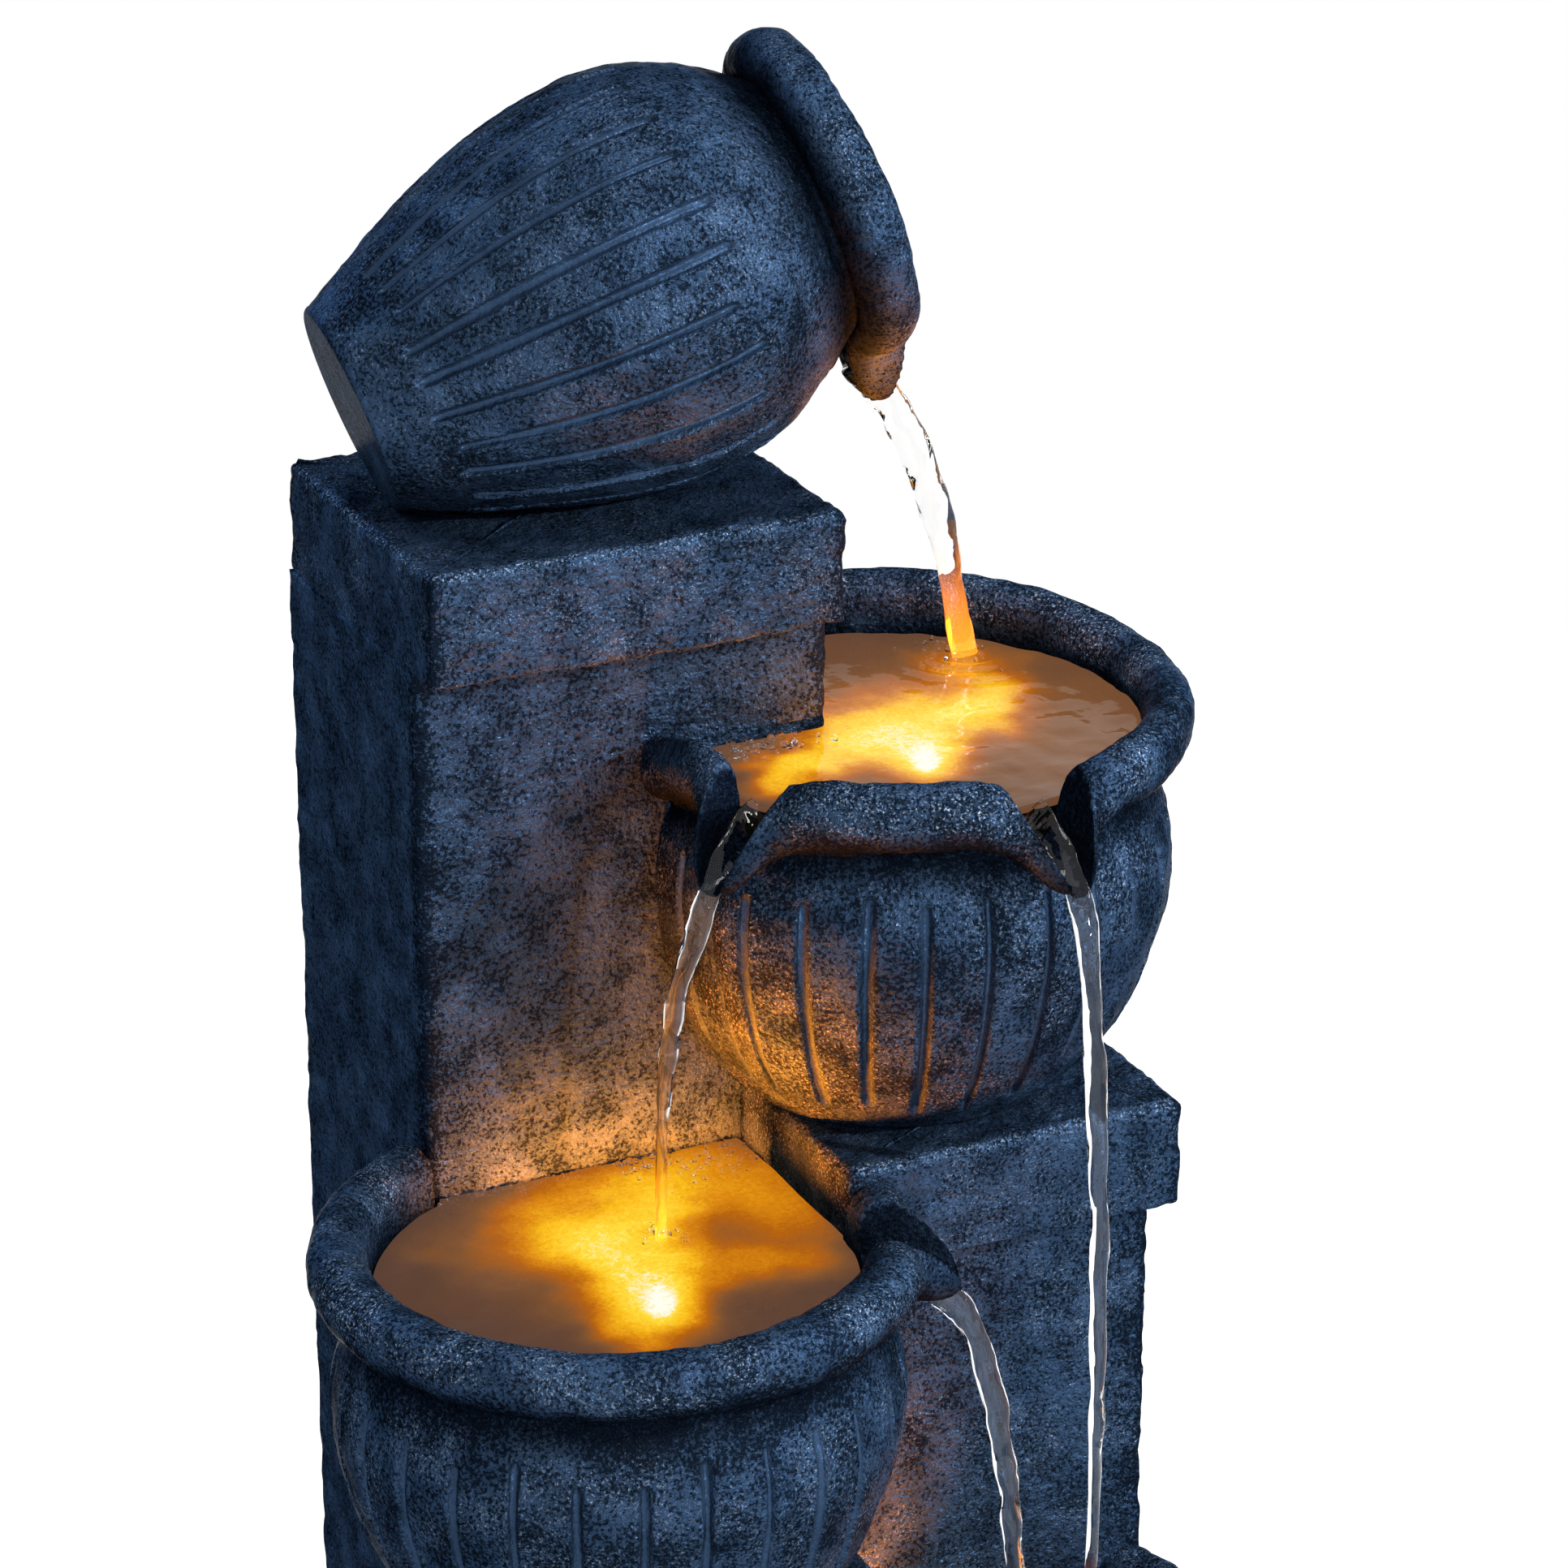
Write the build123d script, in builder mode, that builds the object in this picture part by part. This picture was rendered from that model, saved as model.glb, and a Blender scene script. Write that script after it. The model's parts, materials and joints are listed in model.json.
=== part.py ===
from build123d import *
import math
import os

os.makedirs("parts", exist_ok=True)

# Frame: origin on the ground under the middle of the fountain, +X right, -Y to the viewer, +Z up.
# Sizes are in millimetres and angles in degrees.

# Clearances
glue_gap = 0.2          # cast pieces that are bonded side by side
slip_gap = 0.15         # pieces pushed into or over one another by hand, per side
running_gap = 0.05      # a turning piece on its pin, per side
hatch_gap = 0.4         # hatch panel in its rebate, per side

# Base
base_width = 190.0
base_front = -108.0
base_back = 108.0
base_corner = 10.0
base_edge_round = 1.5
tray_height = 15.5
tray_wall = 4.0
tray_floor = 4.0
deck_thickness = 8.0
pad_diameter = 16.0
pad_height = 3.0
pad_recess = 1.5
pad_inset = 20.0

# Tall column, on the left at the back
tall_left = -66.0
tall_width = 95.4
tall_front = 33.5
column_back = 105.5
tall_top = 363.5
tall_cap_height = 25.5
tall_cap_front_lip = 11.0
column_wall = 5.0
cap_plate = 6.0
cap_edge_round = 1.6
shaft_edge_round = 1.2

# Side column, which wraps the tall column's right front corner
side_left = 11.0
side_width = 77.5
side_front = -13.0
side_top = 230.5
side_cap_height = 25.0
side_cap_front_lip = 9.2
side_cap_side_lip = 2.5

# Stand below the middle bowl
stand_left = -77.0
stand_front = -50.0
stand_top = 138.0
stand_cap_height = 20.0
stand_cap_lip = 2.0

# Cast bowls: one pattern, three times
bowl_height = 89.5
rim_radius = 66.0
rim_roll_width = 13.6
rim_roll_height = 14.5
neck_radius = 57.0
neck_drop = 18.5
belly_radius = 61.6
belly_drop = 36.0
waist_radius = 58.5
waist_drop = 58.0
heel_radius = 51.0
heel_drop = 76.0
foot_radius = 39.0
bowl_wall = 5.0
bowl_depth = 33.0
bowl_floor = 5.0
floor_round = 10.0
upper_bowl_x = 43.8
upper_bowl_y = 28.2
middle_bowl_x = -43.8
middle_bowl_y = -17.3
lower_bowl_x = 29.0
lower_bowl_y = -35.0

# Pouring lips of the bowls; bearings run anticlockwise from +X
upper_lip_bearings = (212.0, 276.0)
middle_lip_bearings = (338.0,)
lip_reach = 73.5
upper_lip_drop = 17.5
middle_lip_drop = 14.5
lip_root_half_width = 15.0
lip_tip_half_width = 5.6
lip_half_height = 6.5
channel_root_half_width = 5.4
channel_tip_half_width = 3.2
channel_root_drop = 9.0
channel_wall = 3.0

# Flutes: hand-cut grooves with round ends, each a share of the wall's run from foot to neck
flute_radius = 1.7
flute_depth = 1.2
flute_stations = 6
bowl_flute_count = 28
bowl_flute_turn = 6.5
bowl_flute_start = 0.16
bowl_flute_end = 0.86
jar_flute_count = 24
jar_flute_turn = 10.5
jar_flute_start = 0.14
jar_flute_end = 0.745

# Where the bowls meet the columns
upper_rim_end_x = -13.0
upper_rim_end_drop = 14.0
corner_pool_x = 20.0
back_pool_y = 30.0

# Tilted jar on the tall column
jar_base_x = -65.4
jar_base_y = 68.8
jar_tilt = 19.6
jar_turn = -6.6
jar_length = 119.5
jar_base_radius = 23.7
jar_flank_radius = 34.0
jar_flank_at = 23.0
jar_belly_radius = 44.7
jar_belly_at = 64.0
jar_shoulder_radius = 42.2
jar_shoulder_at = 85.2
jar_neck_radius = 30.6
jar_neck_at = 104.0
jar_rim_radius = 37.3
jar_rim_width = 11.5
jar_rim_length = 14.0
jar_wall = 6.0
jar_floor = 8.0
jar_lip_reach = 49.5
jar_lip_drop = 9.5
jar_lip_tip_half_width = 3.6
jar_channel_tip_half_width = 2.0

# Lamps, one in the floor of each bowl
lamp_offset = 7.0
lamp_diameter = 16.0
lamp_height = 4.0
lamp_edge_round = 1.0
lens_diameter = 9.0
lens_dome = 2.6
lens_seat_depth = 1.5
lamp_stem_diameter = 8.0
lamp_stem_length = 12.0
lamp_seal_thickness = 1.0
lamp_nut_diameter = 14.0
lamp_nut_height = 4.0
nut_sides = 6
lamp_cable_diameter = 3.0
cable_bend_radius = 9.0
cable_hole_diameter = 6.0
cable_height = 66.0
tray_cable_height = 11.0

# Drain in the floor of the lower bowl
drain_x = 24.0
drain_y = -14.0
drain_diameter = 18.0
drain_flange_diameter = 22.0
drain_flange_thickness = 1.6
drain_collar_height = 4.5
drain_hole_diameter = 2.6
drain_hole_spacing = 4.0
drain_hole_rows = 3
drain_well_diameter = 50.0

# Hatch in the back of the tall column
hatch_width = 60.0
hatch_height = 66.0
hatch_bottom = 32.0
hatch_centre_x = -29.0
hatch_rebate = 3.0
hatch_plate = 2.4
hatch_plug_depth = 4.0
hatch_plug_wall = 2.5
hatch_corner = 4.0
hatch_pull_radius = 9.0
hatch_pull_depth = 1.2

# Pump in the foot of the tall column; its axis runs along X, its intake faces -X
supply_x = -28.0
supply_y = 64.4
pump_length = 42.0
pump_width = 40.0
pump_height = 34.0
pump_edge_round = 4.0
volute_diameter = 28.0
volute_depth = 9.0
rotor_well_diameter = 19.0
rotor_well_depth = 23.0
rotor_diameter = 17.0
rotor_length = 22.0
impeller_diameter = 24.0
impeller_hub_diameter = 8.0
blade_count = 6
blade_thickness = 1.6
blade_height = 5.0
blade_disc = 1.4
shaft_diameter = 2.5
bush_diameter = 6.0
bush_collar = 1.5
bush_length = 3.0
volute_cover_thickness = 3.5
volute_cover_diameter = 32.0
intake_diameter = 18.0
spider_width = 2.0
spider_count = 3
strainer_length = 12.0
strainer_wall = 2.0
strainer_slot_width = 2.0
strainer_slot_spacing = 4.0
strainer_slot_count = 2
strainer_slot_length = 22.0
strainer_slot_middle = 13.0
dial_diameter = 18.0
dial_thickness = 2.0
dial_pin_diameter = 4.0
dial_head_diameter = 6.0
dial_head_thickness = 1.0
dial_face_gap = 0.3
dial_grip_width = 3.0
dial_grip_height = 1.2
cup_diameter = 9.0
cup_height = 5.0
cup_inset = 8.0
cup_taper = 15.0
nozzle_length = 14.0

# Supply hose and the fitting that takes it into the jar
hose_outer_diameter = 12.0
hose_bore = 8.0
nozzle_bore = 5.0
barb_length = 12.0
stem_margin = 2.0
fitting_stem_diameter = 10.0
fitting_flange_diameter = 16.0
fitting_flange_thickness = 2.5
fitting_nut_across = 17.0
fitting_nut_height = 5.0
fitting_seat_height = 3.6
gasket_thickness = 1.0
clamp_thickness = 1.4
clamp_width = 5.0
clamp_ear_length = 4.0

# Cable splitter and the grommet for the supply lead
splitter_y = 52.0
splitter_length = 28.0
splitter_width = 16.0
splitter_depth = 12.0
splitter_round = 2.0
grommet_x = 13.0
grommet_z = 44.0
grommet_bore = 5.5
grommet_neck = 9.0
grommet_flange = 13.0
grommet_lip = 1.5

# Places that follow from the sizes above
tray_bottom = pad_height - pad_recess
deck_bottom = tray_bottom + tray_height
base_height = deck_bottom + deck_thickness
base_centre_y = (base_front + base_back) / 2
base_depth = base_back - base_front
tall_right = tall_left + tall_width
tall_cap_bottom = tall_top - tall_cap_height
side_right = side_left + side_width
side_cap_bottom = side_top - side_cap_height
stand_right = side_left - glue_gap
stand_back = tall_front - glue_gap
stand_cap_bottom = stand_top - stand_cap_height
side_inner_left = tall_right + glue_gap
side_inner_back = tall_front - glue_gap
well_left = tall_left + column_wall
well_right = tall_right - column_wall
well_front = tall_front + column_wall
well_back = column_back - column_wall
pump_bottom = tray_bottom + tray_floor + cup_height
pump_top = pump_bottom + pump_height
pump_axis_z = pump_bottom + pump_height / 2
pump_front = supply_x - volute_cover_thickness - volute_depth / 2
hatch_centre_z = hatch_bottom + hatch_height / 2
fitting_seat = tall_top + fitting_seat_height
cap_underside = tall_top - cap_plate
barb_diameter = hose_bore - 2 * slip_gap


def rectangle_between(left, right, front, back):
    """Plan rectangle given by its four sides."""
    with BuildSketch() as plan:
        with Locations(((left + right) / 2, (front + back) / 2)):
            Rectangle(right - left, back - front)
    return plan.sketch


def side_plan(side_lip, front_lip, inset):
    """Plan of the side column: a block with a square corner left out for the tall column.

    side_lip and front_lip widen it to the cap's plan, inset narrows it to the hollow inside.
    """
    left = side_left - side_lip + inset
    right = side_right + side_lip - inset
    front = side_front - front_lip + inset
    with BuildSketch() as plan:
        with BuildLine():
            Polyline(
                (left, front),
                (right, front),
                (right, column_back - inset),
                (side_inner_left + inset, column_back - inset),
                (side_inner_left + inset, side_inner_back - inset),
                (left, side_inner_back - inset),
                close=True,
            )
        make_face()
    return plan.sketch


def lip_plane(rim, bearing, radius, drop):
    """Plane across a pouring lip: local X runs along the rim, local Y along the vessel's axis."""
    angle = math.radians(bearing)
    radial = rim.x_dir * math.cos(angle) + rim.y_dir * math.sin(angle)
    tangent = rim.y_dir * math.cos(angle) - rim.x_dir * math.sin(angle)
    return Plane(rim.origin + radial * radius - rim.z_dir * drop, x_dir=tangent, z_dir=radial)


def pouring_lip(rim, bearing, root_radius, reach, tip_drop, tip_half_width):
    """Beak that grows out of a rolled rim, droops and narrows to a flat-cut tip."""
    middle_radius = (root_radius + reach) / 2
    middle_half_width = (lip_root_half_width + tip_half_width) / 2
    root_drop = lip_half_height
    middle_drop = root_drop + (tip_drop - root_drop) / 3
    with BuildPart() as lip:
        with BuildSketch(lip_plane(rim, bearing, root_radius, root_drop)):
            Ellipse(lip_root_half_width, lip_half_height)
        with BuildSketch(lip_plane(rim, bearing, middle_radius, middle_drop)):
            Ellipse(middle_half_width, lip_half_height)
        with BuildSketch(lip_plane(rim, bearing, reach, tip_drop)):
            Ellipse(tip_half_width, lip_half_height)
        loft()
    return lip.part


def pouring_channel(rim, bearing, root_radius, reach, tip_drop, tip_half_width):
    """Round-bottomed trough that a beak carries from inside the vessel past its tip, open above."""
    tip_floor = tip_drop + lip_half_height - channel_wall - tip_half_width
    trough_height = channel_root_drop + lip_half_height
    stations = (
        (root_radius, channel_root_drop, channel_root_half_width),
        (reach, tip_floor, tip_half_width),
        (reach + channel_wall, tip_floor + channel_wall, tip_half_width),
    )
    with BuildPart() as channel:
        for radius, drop, half_width in stations:
            with BuildSketch(lip_plane(rim, bearing, radius, drop)):
                with Locations((0, trough_height / 2)):
                    Rectangle(2 * half_width, trough_height)
                Circle(half_width)
        loft(ruled=True)
    return channel.part


def flute_ring(run, start, end, count, turn):
    """Cutters for flutes round the Z axis: each follows a wall's run and has a ball at both ends."""
    lift = flute_radius - flute_depth
    stations = []
    for step in range(flute_stations):
        share = start + (end - start) * step / (flute_stations - 1)
        along = run % share
        outward = Vector(along.Z, 0, -along.X)
        stations.append(run @ share + outward * lift)
    with BuildPart() as cutter:
        with BuildLine():
            groove = Spline(*stations)
        with BuildSketch(Plane(groove @ 0, z_dir=groove % 0)):
            Circle(flute_radius)
        sweep()
        for tip in (groove @ 0, groove @ 1):
            with Locations(tip):
                Sphere(flute_radius)
    with BuildPart() as ring:
        with PolarLocations(0, count, start_angle=turn):
            add(cutter.part)
    return ring.part


def cast_bowl(rim, bearings, lip_drop):
    """One bowl of the set: rolled rim, necked and bellied wall, shallow floor, hollow foot."""
    axis = Axis(rim.origin, rim.z_dir)
    section = Plane(rim.origin, x_dir=rim.x_dir, z_dir=-rim.y_dir)
    roll_radius = rim_radius - rim_roll_width / 2
    rim_inner_radius = rim_radius - rim_roll_width
    under_floor = bowl_depth + bowl_floor
    with BuildPart() as bowl:
        with BuildSketch(section):
            with BuildLine():
                wall = Spline(
                    (foot_radius, -bowl_height),
                    (heel_radius, -heel_drop),
                    (waist_radius, -waist_drop),
                    (belly_radius, -belly_drop),
                    (neck_radius, -neck_drop),
                )
                Polyline(
                    wall @ 1,
                    (roll_radius, -rim_roll_height / 2),
                    (0, -rim_roll_height / 2),
                    (0, -bowl_height),
                    wall @ 0,
                )
            make_face()
            with Locations((roll_radius, -rim_roll_height / 2)):
                Ellipse(rim_roll_width / 2, rim_roll_height / 2)
        revolve(axis=axis)
        with Locations(Location(rim)):
            add(bowl_flutes, mode=Mode.SUBTRACT)
        for bearing in bearings:
            add(pouring_lip(rim, bearing, rim_inner_radius, lip_reach, lip_drop, lip_tip_half_width))
        with BuildSketch(section):
            with BuildLine():
                inside = Spline(
                    (rim_inner_radius, -rim_roll_height / 2),
                    (neck_radius - bowl_wall, -neck_drop),
                    (belly_radius - bowl_wall - floor_round / 2, -bowl_depth + floor_round / 2),
                    (belly_radius - bowl_wall - 3 * floor_round / 2, -bowl_depth),
                )
                Polyline(
                    inside @ 1,
                    (0, -bowl_depth),
                    (0, rim_roll_height),
                    (rim_inner_radius, rim_roll_height),
                    inside @ 0,
                )
            make_face()
        revolve(axis=axis, mode=Mode.SUBTRACT)
        with BuildSketch(section):
            with BuildLine():
                under = Spline(
                    (foot_radius - bowl_wall, -bowl_height),
                    (heel_radius - bowl_wall, -heel_drop),
                    (waist_radius - bowl_wall, -waist_drop),
                    (belly_radius - 2 * bowl_wall, -under_floor),
                )
                Polyline(under @ 1, (0, -under_floor), (0, -bowl_height), under @ 0)
            make_face()
        revolve(axis=axis, mode=Mode.SUBTRACT)
        for bearing in bearings:
            channel_root = rim_inner_radius - bowl_wall
            channel = pouring_channel(rim, bearing, channel_root, lip_reach, lip_drop, channel_tip_half_width)
            add(channel, mode=Mode.SUBTRACT)
        with Locations(Location((rim.origin.X + lamp_offset, rim.origin.Y, rim.origin.Z - bowl_depth))):
            Hole(lamp_stem_diameter / 2 + slip_gap, depth=bowl_floor)
    return bowl.part


def cable(points):
    """Round lamp cable along straight runs that are joined by tangent bends."""
    with BuildPart() as lead:
        with BuildLine() as route:
            FilletPolyline(*points, radius=cable_bend_radius)
        with BuildSketch(Plane(route.line @ 0, z_dir=route.line % 0)):
            Circle(lamp_cable_diameter / 2)
        sweep()
    return lead.part


upper_rim = Plane((upper_bowl_x, upper_bowl_y, side_top + bowl_height))
middle_rim = Plane((middle_bowl_x, middle_bowl_y, stand_top + bowl_height))
lower_rim = Plane((lower_bowl_x, lower_bowl_y, base_height + bowl_height))
lamp_rims = {"upper": upper_rim, "middle": middle_rim, "lower": lower_rim}
rear_face = Plane((0, column_back, 0), x_dir=(-1, 0, 0), z_dir=(0, 1, 0))
pump_face = Plane((pump_front, supply_y, pump_axis_z), x_dir=(0, -1, 0), z_dir=(-1, 0, 0))


def lamp_seat(rim):
    """Plane on the floor of a bowl, centred on its lamp."""
    return Plane(rim.origin + rim.x_dir * lamp_offset - rim.z_dir * bowl_depth)


def lamp_cable_start(rim):
    """Lower end of a lamp's stem, where its cable begins."""
    return lamp_seat(rim).origin + rim.z_dir * (lamp_seal_thickness - lamp_stem_length)


# Reservoir tray, closed below and open above
with BuildPart() as base_tray:
    with BuildSketch(Plane.XY.offset(tray_bottom)):
        with Locations((0, base_centre_y)):
            RectangleRounded(base_width, base_depth, base_corner)
    extrude(amount=tray_height)
    fillet(base_tray.faces().sort_by(Axis.Z)[0].edges(), base_edge_round)
    with BuildSketch(Plane.XY.offset(tray_bottom + tray_floor)):
        with Locations((0, base_centre_y)):
            RectangleRounded(base_width - 2 * tray_wall, base_depth - 2 * tray_wall, base_corner - tray_wall)
    extrude(amount=tray_height, mode=Mode.SUBTRACT)
    with BuildSketch(Plane.XY.offset(tray_bottom)):
        with Locations((0, base_centre_y)):
            with GridLocations(base_width - 2 * pad_inset, base_depth - 2 * pad_inset, 2, 2):
                Circle(pad_diameter / 2 + slip_gap)
    extrude(amount=pad_recess, mode=Mode.SUBTRACT)

with BuildPart() as rubber_feet:
    with BuildSketch():
        with Locations((0, base_centre_y)):
            with GridLocations(base_width - 2 * pad_inset, base_depth - 2 * pad_inset, 2, 2):
                Circle(pad_diameter / 2)
    extrude(amount=pad_height)

# Deck slab with the well for the pump and the well under the lower bowl
with BuildPart() as base_deck:
    with BuildSketch(Plane.XY.offset(deck_bottom)):
        with Locations((0, base_centre_y)):
            RectangleRounded(base_width, base_depth, base_corner)
    extrude(amount=deck_thickness)
    fillet(base_deck.faces().sort_by(Axis.Z)[-1].edges(), base_edge_round)
    with BuildSketch(Plane.XY.offset(deck_bottom)):
        add(rectangle_between(well_left, well_right, well_front, well_back))
        with Locations((lower_bowl_x, lower_bowl_y)):
            Circle(drain_well_diameter / 2)
    extrude(amount=deck_thickness, mode=Mode.SUBTRACT)

# Tall column: a hollow shaft with a rebated hatch opening behind and holes for cables and lead
with BuildPart() as tall_column:
    with BuildSketch(Plane.XY.offset(base_height)):
        add(rectangle_between(tall_left, tall_right, tall_front, column_back))
    extrude(amount=tall_cap_bottom - base_height)
    fillet(tall_column.edges().filter_by(Axis.Z), shaft_edge_round)
    with BuildSketch(Plane.XY.offset(base_height)):
        add(rectangle_between(well_left, well_right, well_front, well_back))
    extrude(amount=tall_cap_bottom - base_height, mode=Mode.SUBTRACT)
    with BuildSketch(rear_face):
        with Locations((-hatch_centre_x, hatch_centre_z)):
            RectangleRounded(hatch_width + 2 * hatch_gap, hatch_height + 2 * hatch_gap, hatch_corner)
    extrude(amount=-hatch_plate, mode=Mode.SUBTRACT)
    with BuildSketch(rear_face):
        with Locations((-hatch_centre_x, hatch_centre_z)):
            RectangleRounded(hatch_width - 2 * hatch_rebate, hatch_height - 2 * hatch_rebate, hatch_corner)
        with Locations((-grommet_x, grommet_z)):
            Circle(grommet_neck / 2 + slip_gap)
    extrude(amount=-column_wall, mode=Mode.SUBTRACT)
    with BuildSketch(Plane((tall_right, splitter_y, cable_height), z_dir=(1, 0, 0))):
        Circle(cable_hole_diameter / 2)
    extrude(amount=-column_wall, mode=Mode.SUBTRACT)
    with BuildSketch(Plane((middle_bowl_x + lamp_offset, tall_front, cable_height), z_dir=(0, -1, 0))):
        Circle(cable_hole_diameter / 2)
    extrude(amount=-column_wall, mode=Mode.SUBTRACT)

# Cap of the tall column: flush with the shaft at the sides, standing out in front, hollow below
with BuildPart() as tall_cap:
    with BuildSketch(Plane.XY.offset(tall_cap_bottom)):
        add(rectangle_between(tall_left, tall_right, tall_front - tall_cap_front_lip, column_back))
    extrude(amount=tall_cap_height)
    fillet(tall_cap.edges(), cap_edge_round)
    with BuildSketch(Plane.XY.offset(tall_cap_bottom)):
        add(rectangle_between(well_left, well_right, well_front, well_back))
    extrude(amount=tall_cap_height - cap_plate, mode=Mode.SUBTRACT)
    with Locations((supply_x, supply_y, tall_top)):
        Hole(fitting_stem_diameter / 2 + slip_gap, depth=cap_plate)

# Side column: a hollow shaft round the tall column's corner
with BuildPart() as side_column:
    with BuildSketch(Plane.XY.offset(base_height)):
        add(side_plan(0, 0, 0))
    extrude(amount=side_cap_bottom - base_height)
    fillet(side_column.edges().filter_by(Axis.Z).group_by(Axis.Y)[0], shaft_edge_round)
    with BuildSketch(Plane.XY.offset(base_height)):
        add(side_plan(0, 0, column_wall))
    extrude(amount=side_cap_bottom - base_height, mode=Mode.SUBTRACT)
    with BuildSketch(Plane((side_inner_left + column_wall, splitter_y, cable_height), z_dir=(1, 0, 0))):
        Circle(cable_hole_diameter / 2)
    extrude(amount=-column_wall, mode=Mode.SUBTRACT)

with BuildPart() as side_cap:
    with BuildSketch(Plane.XY.offset(side_cap_bottom)):
        add(side_plan(side_cap_side_lip, side_cap_front_lip, 0))
    extrude(amount=side_cap_height)
    open_edges = side_cap.edges().filter_by(lambda edge: edge.center().Y < side_inner_back - cap_edge_round)
    right_edges = side_cap.edges().filter_by(lambda edge: edge.center().X > side_right)
    fillet(ShapeList(set(open_edges + right_edges)), cap_edge_round)
    with BuildSketch(Plane.XY.offset(side_cap_bottom)):
        add(side_plan(0, 0, column_wall))
    extrude(amount=side_cap_height - cap_plate, mode=Mode.SUBTRACT)
    with Locations((upper_bowl_x + lamp_offset, upper_bowl_y, side_top)):
        Hole(cable_hole_diameter / 2, depth=cap_plate)

# Stand of the middle bowl, between the side column and the tall column
stand_hollow = rectangle_between(
    stand_left + column_wall, stand_right - column_wall, stand_front + column_wall, stand_back - column_wall
)
with BuildPart() as stand:
    with BuildSketch(Plane.XY.offset(base_height)):
        add(rectangle_between(stand_left, stand_right, stand_front, stand_back))
    extrude(amount=stand_cap_bottom - base_height)
    fillet(stand.edges().filter_by(Axis.Z).group_by(Axis.Y)[0], shaft_edge_round)
    with BuildSketch(Plane.XY.offset(base_height)):
        add(stand_hollow)
    extrude(amount=stand_cap_bottom - base_height, mode=Mode.SUBTRACT)
    with BuildSketch(Plane((middle_bowl_x + lamp_offset, stand_back, cable_height), z_dir=(0, 1, 0))):
        Circle(cable_hole_diameter / 2)
    extrude(amount=-column_wall, mode=Mode.SUBTRACT)

with BuildPart() as stand_cap:
    with BuildSketch(Plane.XY.offset(stand_cap_bottom)):
        cap_left = stand_left - stand_cap_lip
        cap_front = stand_front - stand_cap_lip
        add(rectangle_between(cap_left, stand_right, cap_front, stand_back))
    extrude(amount=stand_cap_height)
    fillet(stand_cap.edges(), cap_edge_round)
    with BuildSketch(Plane.XY.offset(stand_cap_bottom)):
        add(stand_hollow)
    extrude(amount=stand_cap_height - cap_plate, mode=Mode.SUBTRACT)
    with Locations((middle_bowl_x + lamp_offset, middle_bowl_y, stand_top)):
        Hole(cable_hole_diameter / 2, depth=cap_plate)

# One ring of flute cutters serves all the bowls
with BuildLine(Plane.XZ) as bowl_run:
    Spline(
        (foot_radius, -bowl_height),
        (heel_radius, -heel_drop),
        (waist_radius, -waist_drop),
        (belly_radius, -belly_drop),
        (neck_radius, -neck_drop),
    )
bowl_flutes = flute_ring(
    bowl_run.line, bowl_flute_start, bowl_flute_end, bowl_flute_count, bowl_flute_turn
)

# Bowls, each cut away where a column stands in it
tall_keep_out = rectangle_between(
    tall_left - glue_gap, tall_right + glue_gap, tall_front - glue_gap, column_back + glue_gap
)
stand_keep_out = rectangle_between(
    stand_left - glue_gap, stand_right + glue_gap, stand_front - glue_gap, stand_back + glue_gap
)

# The upper bowl's rim stops short of the tall column, where its left lip begins
with BuildPart() as upper_bowl:
    add(cast_bowl(upper_rim, upper_lip_bearings, upper_lip_drop))
    with BuildSketch(Plane.XY.offset(side_top)):
        add(tall_keep_out)
    extrude(amount=bowl_height, mode=Mode.SUBTRACT)
    with BuildSketch(Plane.XY.offset(upper_rim.origin.Z - upper_rim_end_drop)):
        add(rectangle_between(upper_bowl_x - lip_reach, upper_rim_end_x, side_front, tall_front))
    extrude(amount=upper_rim_end_drop, mode=Mode.SUBTRACT)

# The middle bowl's pool reaches back to the tall column and right to the side cap,
# so there its floor is square and the rim is left out
side_cap_front = side_front - side_cap_front_lip
pool_right = side_left - glue_gap
pool_rear = tall_front - glue_gap
pool_back = rectangle_between(tall_left, pool_right, middle_bowl_y + back_pool_y, pool_rear)
pool_corner = rectangle_between(middle_bowl_x + corner_pool_x, pool_right, side_cap_front, pool_rear)
with BuildPart() as middle_bowl:
    add(cast_bowl(middle_rim, middle_lip_bearings, middle_lip_drop))
    with BuildSketch(Plane.XY.offset(middle_rim.origin.Z - bowl_depth)):
        add(pool_back)
        add(pool_corner)
    extrude(amount=bowl_depth, mode=Mode.SUBTRACT)
    with BuildSketch(Plane.XY.offset(middle_rim.origin.Z - bowl_depth)):
        add(pool_back)
        add(pool_corner)
    extrude(amount=-bowl_floor)
    with BuildSketch(Plane.XY.offset(stand_top)):
        add(tall_keep_out)
        add(side_plan(0, 0, -glue_gap))
    extrude(amount=bowl_height, mode=Mode.SUBTRACT)
    with BuildSketch(Plane.XY.offset(side_cap_bottom - glue_gap)):
        add(side_plan(side_cap_side_lip, side_cap_front_lip, -glue_gap))
    extrude(amount=bowl_height, mode=Mode.SUBTRACT)

with BuildPart() as lower_bowl:
    add(cast_bowl(lower_rim, (), 0))
    with BuildSketch(Plane.XY.offset(base_height)):
        add(side_plan(0, 0, -glue_gap))
        add(stand_keep_out)
        add(tall_keep_out)
    extrude(amount=bowl_height, mode=Mode.SUBTRACT)
    with Locations((lower_bowl_x + drain_x, lower_bowl_y + drain_y, lower_rim.origin.Z - bowl_depth)):
        Hole(drain_diameter / 2 + slip_gap, depth=bowl_floor)

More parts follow.
